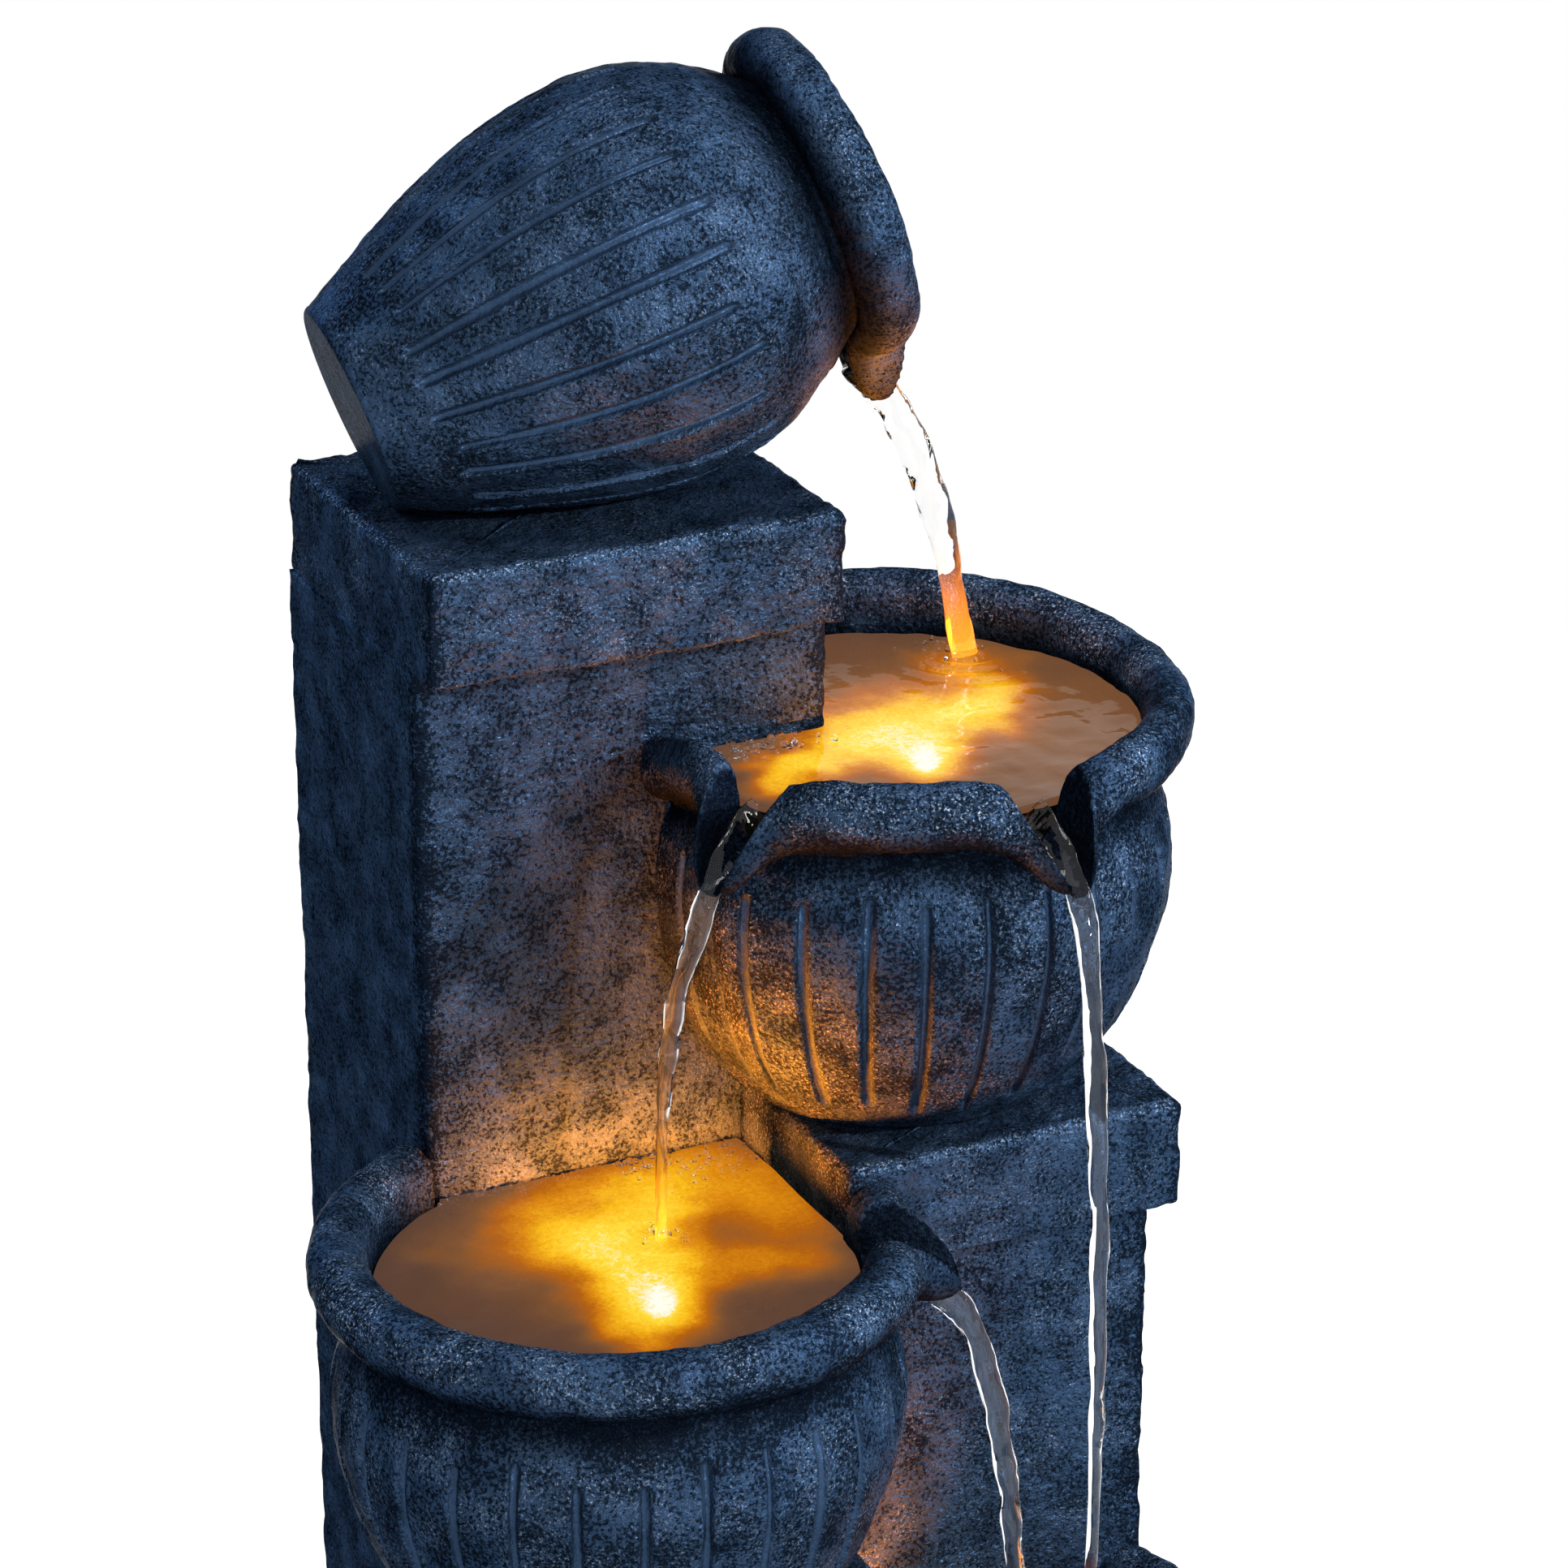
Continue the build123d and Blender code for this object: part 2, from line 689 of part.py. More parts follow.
# Jar, lying on the tall cap with its mouth raised; its underside is trimmed flat where it is seated
tilt = math.radians(jar_tilt)
turn = math.radians(jar_turn)
jar_axis = Vector(math.cos(tilt) * math.cos(turn), math.cos(tilt) * math.sin(turn), math.sin(tilt))
jar_low = Vector(math.sin(tilt) * math.cos(turn), math.sin(tilt) * math.sin(turn), -math.cos(tilt))
jar_base = Vector(jar_base_x, jar_base_y, tall_top + jar_base_radius * math.cos(tilt))
jar_section = Plane(jar_base, x_dir=jar_axis, z_dir=jar_axis.cross(jar_low))
jar_rim = Plane(jar_base + jar_axis * jar_length, x_dir=jar_low, z_dir=jar_axis)
jar_rim_middle = jar_length - jar_rim_length / 2
jar_roll_radius = jar_rim_radius - jar_rim_width / 2

with BuildLine(Plane.XZ) as jar_run:
    Spline(
        (jar_base_radius, 0),
        (jar_flank_radius, jar_flank_at),
        (jar_belly_radius, jar_belly_at),
        (jar_shoulder_radius, jar_shoulder_at),
        (jar_neck_radius, jar_neck_at),
    )
jar_flutes = flute_ring(jar_run.line, jar_flute_start, jar_flute_end, jar_flute_count, jar_flute_turn)

with BuildPart() as jar:
    with BuildSketch(jar_section):
        with BuildLine():
            flank = Spline(
                (0, jar_base_radius),
                (jar_flank_at, jar_flank_radius),
                (jar_belly_at, jar_belly_radius),
                (jar_shoulder_at, jar_shoulder_radius),
                (jar_neck_at, jar_neck_radius),
            )
            Polyline(flank @ 1, (jar_rim_middle, jar_neck_radius), (jar_rim_middle, 0), (0, 0), flank @ 0)
        make_face()
        with Locations((jar_rim_middle, jar_roll_radius)):
            Ellipse(jar_rim_length / 2, jar_rim_width / 2)
    revolve(axis=Axis(jar_base, jar_axis))
    with Locations(Location(Plane(jar_base, x_dir=jar_low, z_dir=jar_axis))):
        add(jar_flutes, mode=Mode.SUBTRACT)
    add(
        pouring_lip(
            jar_rim, 0, jar_rim_radius - jar_rim_width, jar_lip_reach, jar_lip_drop, jar_lip_tip_half_width
        )
    )
    with BuildSketch(jar_section):
        with BuildLine():
            hollow = Spline(
                (jar_floor, jar_base_radius - jar_wall),
                (jar_flank_at, jar_flank_radius - jar_wall),
                (jar_belly_at, jar_belly_radius - jar_wall),
                (jar_shoulder_at, jar_shoulder_radius - jar_wall),
                (jar_neck_at, jar_neck_radius - jar_wall),
                (jar_length, jar_neck_radius - jar_wall),
            )
            Polyline(
                hollow @ 1,
                (jar_length + jar_wall, jar_neck_radius - jar_wall),
                (jar_length + jar_wall, 0),
                (jar_floor, 0),
                hollow @ 0,
            )
        make_face()
    revolve(axis=Axis(jar_base, jar_axis), mode=Mode.SUBTRACT)
    add(
        pouring_channel(
            jar_rim,
            0,
            jar_neck_radius - 2 * jar_wall,
            jar_lip_reach,
            jar_lip_drop,
            jar_channel_tip_half_width,
        ),
        mode=Mode.SUBTRACT,
    )
    with BuildSketch(Plane.XY.offset(tall_cap_bottom)):
        add(rectangle_between(tall_left - jar_wall, tall_right, tall_front - jar_wall, column_back))
    extrude(amount=tall_cap_height, mode=Mode.SUBTRACT)
    with Locations((supply_x, supply_y, fitting_seat + gasket_thickness + fitting_flange_thickness)):
        CounterBoreHole(
            fitting_stem_diameter / 2 + slip_gap,
            fitting_flange_diameter / 2 + slip_gap,
            gasket_thickness + fitting_flange_thickness,
            depth=fitting_seat_height + gasket_thickness + fitting_flange_thickness,
        )

# Lamps: a puck with a threaded stem, a domed lens, a seal on the floor and a nut below it
lamp_bodies = {}
lamp_lenses = {}
for lamp_name, lamp_rim in lamp_rims.items():
    puck_plane = lamp_seat(lamp_rim).offset(lamp_seal_thickness)
    with BuildPart() as lamp_body:
        with BuildSketch(puck_plane):
            Circle(lamp_diameter / 2)
        extrude(amount=lamp_height)
        fillet(lamp_body.edges().sort_by(Axis.Z)[-1], lamp_edge_round)
        with BuildSketch(puck_plane):
            Circle(lamp_stem_diameter / 2)
        extrude(amount=-lamp_stem_length)
        with BuildSketch(puck_plane.offset(lamp_height)):
            Circle(lens_diameter / 2 + slip_gap)
        extrude(amount=-lens_seat_depth, mode=Mode.SUBTRACT)
    lamp_bodies[lamp_name] = lamp_body.part
    lens_plane = puck_plane.offset(lamp_height - lens_seat_depth)
    lens_section = Plane(lens_plane.origin, x_dir=(1, 0, 0), z_dir=(0, -1, 0))
    with BuildPart() as lamp_lens:
        with BuildSketch(lens_section):
            with BuildLine():
                Polyline((0, lens_seat_depth + lens_dome), (0, 0), (lens_diameter / 2, 0))
                Line((lens_diameter / 2, 0), (lens_diameter / 2, lens_seat_depth))
                RadiusArc(
                    (lens_diameter / 2, lens_seat_depth),
                    (0, lens_seat_depth + lens_dome),
                    -((lens_diameter / 2) ** 2 + lens_dome**2) / (2 * lens_dome),
                )
            make_face()
        revolve(axis=Axis(lens_plane.origin, (0, 0, 1)))
    lamp_lenses[lamp_name] = lamp_lens.part

with BuildPart() as lamp_seals:
    for lamp_rim in lamp_rims.values():
        with BuildSketch(lamp_seat(lamp_rim)):
            Circle(lamp_diameter / 2)
            Circle(lamp_stem_diameter / 2 + slip_gap, mode=Mode.SUBTRACT)
        extrude(amount=lamp_seal_thickness)

with BuildPart() as lamp_nuts:
    for lamp_rim in lamp_rims.values():
        with BuildSketch(lamp_seat(lamp_rim).offset(-bowl_floor)):
            RegularPolygon(lamp_nut_diameter / 2, nut_sides)
            Circle(lamp_stem_diameter / 2 + slip_gap, mode=Mode.SUBTRACT)
        extrude(amount=-lamp_nut_height)

# Splitter on the inside of the tall column and the lamp cables that run to it
splitter_left = well_right - splitter_depth
with BuildPart() as splitter:
    with BuildSketch(Plane((well_right, splitter_y, cable_height), x_dir=(0, 1, 0), z_dir=(1, 0, 0))):
        RectangleRounded(splitter_width, splitter_length, splitter_round)
    extrude(amount=-splitter_depth)
    fillet(splitter.faces().sort_by(Axis.X)[0].edges(), splitter_round / 2)

upper_start = lamp_cable_start(upper_rim)
upper_lamp_cable = cable(
    [
        upper_start,
        (upper_start.X, upper_start.Y, cable_height),
        (upper_start.X, splitter_y, cable_height),
        (well_right, splitter_y, cable_height),
    ]
)
middle_start = lamp_cable_start(middle_rim)
middle_lamp_cable = cable(
    [
        middle_start,
        (middle_start.X, middle_start.Y, cable_height),
        (middle_start.X, splitter_y, cable_height),
        (splitter_left, splitter_y, cable_height),
    ]
)
lower_start = lamp_cable_start(lower_rim)
splitter_middle_x = well_right - splitter_depth / 2
lower_lamp_cable = cable(
    [
        lower_start,
        (lower_start.X, lower_start.Y, tray_cable_height),
        (splitter_middle_x, splitter_y, tray_cable_height),
        (splitter_middle_x, splitter_y, cable_height - splitter_length / 2),
    ]
)

# Drain grate, a flanged disc dropped into the floor of the lower bowl
drain_plane = Plane(lower_rim.origin + Vector(drain_x, drain_y, -bowl_depth))
with BuildPart() as drain_grate:
    with BuildSketch(drain_plane):
        Circle(drain_flange_diameter / 2)
    extrude(amount=drain_flange_thickness)
    with BuildSketch(drain_plane):
        Circle(drain_diameter / 2)
    extrude(amount=-drain_collar_height)
    with BuildSketch(drain_plane.offset(drain_flange_thickness)):
        with HexLocations(drain_hole_spacing / math.sqrt(3), drain_hole_rows, drain_hole_rows):
            Circle(drain_hole_diameter / 2)
    extrude(amount=-drain_collar_height - drain_flange_thickness, mode=Mode.SUBTRACT)

# Hatch: a flush panel with a plug frame behind it and a thumb recess
hatch_plane = Plane((hatch_centre_x, column_back, hatch_centre_z), x_dir=(-1, 0, 0), z_dir=(0, 1, 0))
plug_width = hatch_width - 2 * hatch_rebate - 2 * hatch_gap
plug_height = hatch_height - 2 * hatch_rebate - 2 * hatch_gap
with BuildPart() as rear_hatch:
    with BuildSketch(hatch_plane):
        RectangleRounded(hatch_width, hatch_height, hatch_corner - hatch_gap)
    extrude(amount=-hatch_plate)
    with BuildSketch(hatch_plane.offset(-hatch_plate)):
        RectangleRounded(plug_width, plug_height, hatch_corner - hatch_gap)
        RectangleRounded(
            plug_width - 2 * hatch_plug_wall,
            plug_height - 2 * hatch_plug_wall,
            hatch_corner - hatch_gap - hatch_plug_wall,
            mode=Mode.SUBTRACT,
        )
    extrude(amount=-hatch_plug_depth)
    with BuildSketch(hatch_plane):
        with Locations((0, hatch_height / 2)):
            Circle(hatch_pull_radius)
    extrude(amount=-hatch_pull_depth, mode=Mode.SUBTRACT)

# Grommet for the supply lead, empty
with BuildPart() as lead_grommet:
    with BuildSketch(rear_face):
        with Locations((-grommet_x, grommet_z)):
            Circle(grommet_neck / 2)
    extrude(amount=-column_wall)
    for flange_start, flange_depth in ((0, grommet_lip), (-column_wall, -grommet_lip)):
        with BuildSketch(rear_face.offset(flange_start)):
            with Locations((-grommet_x, grommet_z)):
                Circle(grommet_flange / 2)
        extrude(amount=flange_depth)
    with BuildSketch(rear_face.offset(grommet_lip)):
        with Locations((-grommet_x, grommet_z)):
            Circle(grommet_bore / 2)
    extrude(amount=-column_wall - 2 * grommet_lip, mode=Mode.SUBTRACT)

# Pump: potted housing with the cover recess, the volute and the rotor well in line behind its face
volute_plane = pump_face.offset(-volute_cover_thickness)
rotor_plane = volute_plane.offset(-volute_depth)
with BuildPart() as pump_housing:
    with BuildSketch(pump_face):
        RectangleRounded(pump_width, pump_height, pump_edge_round)
    extrude(amount=-pump_length)
    fillet(pump_housing.faces().sort_by(Axis.X)[-1].edges(), pump_edge_round / 2)
    with BuildSketch(Plane((supply_x, supply_y, pump_axis_z))):
        Circle(barb_diameter / 2)
    extrude(amount=pump_height / 2 + nozzle_length)
    with BuildSketch(pump_face):
        Circle(volute_cover_diameter / 2 + slip_gap)
    extrude(amount=-volute_cover_thickness, mode=Mode.SUBTRACT)
    with BuildSketch(volute_plane):
        Circle(volute_diameter / 2)
    extrude(amount=-volute_depth, mode=Mode.SUBTRACT)
    with BuildSketch(rotor_plane):
        Circle(rotor_well_diameter / 2)
    extrude(amount=-rotor_well_depth, mode=Mode.SUBTRACT)
    with BuildSketch(rotor_plane.offset(-rotor_well_depth)):
        Circle(bush_diameter / 2 + running_gap)
    extrude(amount=-bush_length, mode=Mode.SUBTRACT)
    with BuildSketch(Plane((supply_x, supply_y, pump_axis_z))):
        Circle(nozzle_bore / 2)
    extrude(amount=pump_height / 2 + nozzle_length, mode=Mode.SUBTRACT)

# Volute cover: an intake ring with a bush socket on a three-armed spider
with BuildPart() as volute_cover:
    with BuildSketch(pump_face):
        Circle(volute_cover_diameter / 2)
        Circle(intake_diameter / 2, mode=Mode.SUBTRACT)
        with PolarLocations(0, spider_count):
            with Locations((intake_diameter / 4 + spider_width / 2, 0)):
                Rectangle(intake_diameter / 2 + spider_width, spider_width)
        Circle(bush_diameter / 2 + bush_collar)
        Circle(bush_diameter / 2 + running_gap, mode=Mode.SUBTRACT)
    extrude(amount=-volute_cover_thickness)

with BuildPart() as shaft_bushes:
    front_bush_plane = pump_face.offset(bush_length - volute_cover_thickness)
    rear_bush_plane = rotor_plane.offset(-rotor_well_depth)
    for bush_plane in (front_bush_plane, rear_bush_plane):
        with BuildSketch(bush_plane):
            Circle(bush_diameter / 2)
            Circle(shaft_diameter / 2 + running_gap, mode=Mode.SUBTRACT)
        extrude(amount=-bush_length)

# Ceramic shaft, held in both bushes
with BuildPart() as impeller_shaft:
    with BuildSketch(pump_face.offset(bush_length / 2 - volute_cover_thickness)):
        Circle(shaft_diameter / 2)
    extrude(amount=-(volute_depth + rotor_well_depth + bush_length))

# Impeller: straight vanes on a disc, in one piece with the magnet rotor behind it
rotor_end_gap = (rotor_well_depth - rotor_length) / 2
disc_plane = rotor_plane.offset(rotor_end_gap)
with BuildPart() as impeller:
    with BuildSketch(disc_plane):
        Circle(impeller_diameter / 2)
    extrude(amount=blade_disc)
    with BuildSketch(disc_plane.offset(blade_disc)):
        Circle(impeller_hub_diameter / 2)
        with PolarLocations(0, blade_count):
            with Locations((impeller_diameter / 4, 0)):
                Rectangle(impeller_diameter / 2, blade_thickness)
    extrude(amount=blade_height)
    with BuildSketch(disc_plane):
        Circle(impeller_hub_diameter / 2)
    extrude(amount=-2 * rotor_end_gap)
    with BuildSketch(rotor_plane.offset(-rotor_end_gap)):
        Circle(rotor_diameter / 2)
    extrude(amount=-rotor_length)
    with BuildSketch(disc_plane.offset(blade_disc + blade_height)):
        Circle(shaft_diameter / 2 + running_gap)
    extrude(amount=-(blade_height + blade_disc + 2 * rotor_end_gap + rotor_length), mode=Mode.SUBTRACT)

# Strainer: a slotted cup over the pump's face
strainer_face = pump_face.offset(strainer_length)
with BuildPart() as strainer_cover:
    with BuildSketch(pump_face):
        RectangleRounded(pump_width, pump_height, pump_edge_round)
    extrude(amount=strainer_length)
    fillet(strainer_cover.faces().sort_by(Axis.X)[0].edges(), strainer_wall)
    with BuildSketch(pump_face):
        strainer_inner_width = pump_width - 2 * strainer_wall
        strainer_inner_height = pump_height - 2 * strainer_wall
        RectangleRounded(strainer_inner_width, strainer_inner_height, pump_edge_round - strainer_wall / 2)
    extrude(amount=strainer_length - strainer_wall, mode=Mode.SUBTRACT)
    with BuildSketch(strainer_face):
        with GridLocations(2 * strainer_slot_middle, 0, 2, 1):
            with GridLocations(strainer_slot_spacing, 0, strainer_slot_count, 1):
                SlotOverall(strainer_slot_length, strainer_slot_width, rotation=90)
        Circle(dial_pin_diameter / 2 + running_gap)
    extrude(amount=-strainer_wall, mode=Mode.SUBTRACT)

# Flow dial: a disc with a grip bar, turning on a headed pin through the strainer's face
dial_plane = strainer_face.offset(dial_face_gap)
with BuildPart() as flow_dial:
    with BuildSketch(dial_plane):
        Circle(dial_diameter / 2)
    extrude(amount=dial_thickness)
    with BuildSketch(dial_plane.offset(dial_thickness)):
        Rectangle(dial_diameter - dial_grip_width, dial_grip_width)
    extrude(amount=dial_grip_height)
    with BuildSketch(dial_plane):
        Circle(dial_pin_diameter / 2)
    extrude(amount=-(strainer_wall + 2 * dial_face_gap))
    with BuildSketch(dial_plane.offset(-(strainer_wall + 2 * dial_face_gap))):
        Circle(dial_head_diameter / 2)
    extrude(amount=-dial_head_thickness)

# Suction cups under the pump, on the tray floor
with BuildPart() as suction_cups:
    with BuildSketch(Plane.XY.offset(tray_bottom + tray_floor)):
        with Locations((pump_front + pump_length / 2, supply_y)):
            with GridLocations(pump_length - 2 * cup_inset, pump_width - 2 * cup_inset, 2, 2):
                Circle(cup_diameter / 2)
    extrude(amount=cup_height, taper=cup_taper)

# Supply line: nozzle, hose, barb, and the fitting through the cap and the jar
supply = Plane((supply_x, supply_y, 0))
stem_bottom = cap_underside - fitting_nut_height - stem_margin
with BuildPart() as supply_hose:
    with BuildSketch(supply.offset(pump_top)):
        Circle(hose_outer_diameter / 2)
        Circle(hose_bore / 2, mode=Mode.SUBTRACT)
    extrude(amount=stem_bottom - pump_top)

with BuildPart() as hose_clamps:
    for clamp_height in (pump_top + nozzle_length / 2, stem_bottom - barb_length / 2):
        with BuildSketch(supply.offset(clamp_height - clamp_width / 2)):
            Circle(hose_outer_diameter / 2 + slip_gap + clamp_thickness)
            with Locations((hose_outer_diameter / 2 + clamp_ear_length / 2, 0)):
                Rectangle(clamp_ear_length + 2 * clamp_thickness, 2 * clamp_thickness)
            Circle(hose_outer_diameter / 2 + slip_gap, mode=Mode.SUBTRACT)
        extrude(amount=clamp_width)

with BuildPart() as inlet_fitting:
    with BuildSketch(supply.offset(fitting_seat + gasket_thickness)):
        Circle(fitting_flange_diameter / 2)
    extrude(amount=fitting_flange_thickness)
    with BuildSketch(supply.offset(fitting_seat + gasket_thickness)):
        Circle(fitting_stem_diameter / 2)
    extrude(amount=stem_bottom - fitting_seat - gasket_thickness)
    with BuildSketch(supply.offset(stem_bottom)):
        Circle(barb_diameter / 2)
    extrude(amount=-barb_length)
    with BuildSketch(supply.offset(stem_bottom - barb_length)):
        Circle(nozzle_bore / 2)
    extrude(
        amount=fitting_seat + gasket_thickness + fitting_flange_thickness - stem_bottom + barb_length,
        mode=Mode.SUBTRACT,
    )

with BuildPart() as inlet_gasket:
    with BuildSketch(supply.offset(fitting_seat)):
        Circle(fitting_flange_diameter / 2)
        Circle(fitting_stem_diameter / 2 + slip_gap, mode=Mode.SUBTRACT)
    extrude(amount=gasket_thickness)

with BuildPart() as inlet_nut:
    with BuildSketch(supply.offset(cap_underside)):
        RegularPolygon(fitting_nut_across / 2, nut_sides, major_radius=False)
        Circle(fitting_stem_diameter / 2 + slip_gap, mode=Mode.SUBTRACT)
    extrude(amount=-fitting_nut_height)

pieces = {
    "base_tray": base_tray.part,
    "base_deck": base_deck.part,
    "rubber_feet": rubber_feet.part,
    "tall_column": tall_column.part,
    "tall_cap": tall_cap.part,
    "side_column": side_column.part,
    "side_cap": side_cap.part,
    "stand": stand.part,
    "stand_cap": stand_cap.part,
    "jar": jar.part,
    "upper_bowl": upper_bowl.part,
    "middle_bowl": middle_bowl.part,
    "lower_bowl": lower_bowl.part,
    "upper_lamp_body": lamp_bodies["upper"],
    "middle_lamp_body": lamp_bodies["middle"],
    "lower_lamp_body": lamp_bodies["lower"],
    "upper_lamp_lens": lamp_lenses["upper"],
    "middle_lamp_lens": lamp_lenses["middle"],
    "lower_lamp_lens": lamp_lenses["lower"],
    "lamp_seals": lamp_seals.part,
    "lamp_nuts": lamp_nuts.part,
    "upper_lamp_cable": upper_lamp_cable,
    "middle_lamp_cable": middle_lamp_cable,
    "lower_lamp_cable": lower_lamp_cable,
    "cable_splitter": splitter.part,
    "lead_grommet": lead_grommet.part,
    "drain_grate": drain_grate.part,
    "rear_hatch": rear_hatch.part,
    "pump_housing": pump_housing.part,
    "volute_cover": volute_cover.part,
    "shaft_bushes": shaft_bushes.part,
    "impeller_shaft": impeller_shaft.part,
    "impeller": impeller.part,
    "strainer_cover": strainer_cover.part,
    "flow_dial": flow_dial.part,
    "suction_cups": suction_cups.part,
    "supply_hose": supply_hose.part,
    "hose_clamps": hose_clamps.part,
    "inlet_fitting": inlet_fitting.part,
    "inlet_gasket": inlet_gasket.part,
    "inlet_nut": inlet_nut.part,
}
for piece_name, piece in pieces.items():
    piece.label = piece_name
    export_step(piece, f"parts/{piece_name}.step")
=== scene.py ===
"""Tabletop water fountain, dressed: a tilted jar and three lit bowls on columns, with running water."""

import json
import logging
import math
from dataclasses import dataclass, field
from enum import Enum, IntEnum

import bpy
import numpy as np
from mathutils import Matrix, Vector


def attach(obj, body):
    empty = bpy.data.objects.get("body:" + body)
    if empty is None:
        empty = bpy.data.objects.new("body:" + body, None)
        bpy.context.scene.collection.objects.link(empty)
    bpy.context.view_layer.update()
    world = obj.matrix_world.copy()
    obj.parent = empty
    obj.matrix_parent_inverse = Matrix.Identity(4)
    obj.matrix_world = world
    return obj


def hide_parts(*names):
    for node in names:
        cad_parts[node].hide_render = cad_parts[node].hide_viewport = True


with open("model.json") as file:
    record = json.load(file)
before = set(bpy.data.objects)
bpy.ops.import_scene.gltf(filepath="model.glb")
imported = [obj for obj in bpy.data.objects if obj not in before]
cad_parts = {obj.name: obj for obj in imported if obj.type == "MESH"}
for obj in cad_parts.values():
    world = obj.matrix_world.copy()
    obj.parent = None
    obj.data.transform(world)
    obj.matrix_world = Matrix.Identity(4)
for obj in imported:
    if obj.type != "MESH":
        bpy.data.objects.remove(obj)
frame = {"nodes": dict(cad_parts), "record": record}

log = logging.getLogger("fountain")
MM = 0.001
ROOT = "fountain"
FAR = 1e3  # millimetres, past every face of the fountain
TINY = 1e-9  # keeps a division away from zero
RANGE = "range"  # from low and high to start and end, by a Map Range node
MIX_FACTOR, MIX_UNDER, MIX_OVER, MIX_RESULT = 0, 6, 7, 2  # colour sockets of a Mix node
LATTICE_PRIMES = np.array([73856093, 19349663, 83492791])
LATTICE_SHIFT = 1000.0  # keeps lattice numbers positive
SEED_PRIME, STIR_PRIME = 9176263, 1274126177
BEND_POINTS = 6
CHIP_PITCH = 3.6
WATER_IOR = 1.33
WHITE = (1.0, 1.0, 1.0, 1.0)
Array = np.ndarray
Marks = dict[str, Array]
Pair = tuple[float, float]
Point = tuple[float, float, float]
Layers = tuple[Pair, ...]  # height and pitch of each layer of noise
Run = tuple[Pair, ...]  # radius and height of points on a profile
Footprint = tuple[float, float, float, float, float]  # left, right, front, back, and the height it starts at
TALL: Footprint = (-66.2, 29.6, 33.3, 106.0, 0.0)
SIDE: Footprint = (10.8, 89.0, -13.2, 106.0, 0.0)
SIDE_CAP: Footprint = (8.3, 91.2, -22.4, 106.0, 205.0)


def linear(code: str) -> tuple[float, float, float, float]:
    """Turns a colour from sRGB hex to linear light.

    Args:
        code: six hex digits after a hash sign.
    Returns:
        Red, green, blue and an alpha of one.
    """
    parts = [int(code[i : i + 2], 16) / 255 for i in (1, 3, 5)]
    light = [c / 12.92 if c <= 0.04045 else ((c + 0.055) / 1.055) ** 2.4 for c in parts]
    return (light[0], light[1], light[2], 1.0)


def per_metre(size: float) -> float:
    """Pattern scale on object coordinates for a feature of the given size in millimetres."""
    return 1.0 / (size * MM)


def unit(vectors: Array) -> Array:
    """Vectors of length one along the last axis."""
    return vectors / np.maximum(np.linalg.norm(vectors, axis=-1, keepdims=True), TINY)


def quarter_turn(vectors: Array) -> Array:
    """Plan vectors turned clockwise by a right angle."""
    return np.stack([vectors[..., 1], -vectors[..., 0]], axis=-1)


def ramp01(low: float, high: float, value: Array) -> Array:
    """Smooth step: zero below low, one above high, a cubic ease between.

    Args:
        low: where the step begins.
        high: where it ends; it may be below low for a falling step.
        value: values to test.
    Returns:
        Weights from zero to one.
    """
    t = np.clip((np.asarray(value, float) - low) / (high - low), 0.0, 1.0)
    return t * t * (3.0 - 2.0 * t)


def lattice_noise(points: Array, pitch: float, seed: int) -> Array:
    """Smooth noise in space: random heights at the corners of a cubic lattice, blended by a quintic ease.

    Args:
        points: positions in millimetres, last axis of three.
        pitch: lattice spacing in millimetres.
        seed: picks the pattern.
    Returns:
        Heights from minus one to one.
    """
    place = points / pitch + LATTICE_SHIFT
    base = np.floor(place).astype(np.int64)
    ease = place - base
    ease = ease**3 * (ease * (ease * 6.0 - 15.0) + 10.0)
    total = np.zeros(place.shape[:-1])
    for corner in range(8):
        step = np.array([corner & 1, corner >> 1 & 1, corner >> 2 & 1])
        key = np.bitwise_xor.reduce((base + step) * LATTICE_PRIMES, axis=-1) ^ seed * SEED_PRIME
        key = ((key ^ key >> 13) * STIR_PRIME) & 0x7FFFFFFF
        height = ((key ^ key >> 16) & 0xFFFF) / 32767.5 - 1.0
        total += height * np.prod(np.where(step, ease, 1.0 - ease), axis=-1)
    return total


def layered_noise(points: Array, layers: Layers, seed: int) -> Array:
    """Sum of lattice noises, whose seeds follow on one another.

    Args:
        points: positions in millimetres, last axis of three.
        layers: height and pitch of each noise.
        seed: picks the pattern.
    Returns:
        Heights in millimetres.
    """
    return sum(height * lattice_noise(points, pitch, seed + k) for k, (height, pitch) in enumerate(layers))


def hammered(points: Array, layers: Layers, wear: Array, chip: Pair, seed: int) -> Array:
    """Relief of a hammered mould: layers of noise, less chips where it is worn.

    Args:
        points: positions in millimetres, last axis of three.
        layers: height and pitch of each layer.
        wear: weight of the chips.
        chip: depth of the chips, and how far they spread.
        seed: picks the pattern.
    Returns:
        Heights in millimetres.
    """
    chips = np.maximum(lattice_noise(points, CHIP_PITCH, seed + len(layers)) + chip[1], 0.0)
    return layered_noise(points, layers, seed) - chip[0] * wear * chips


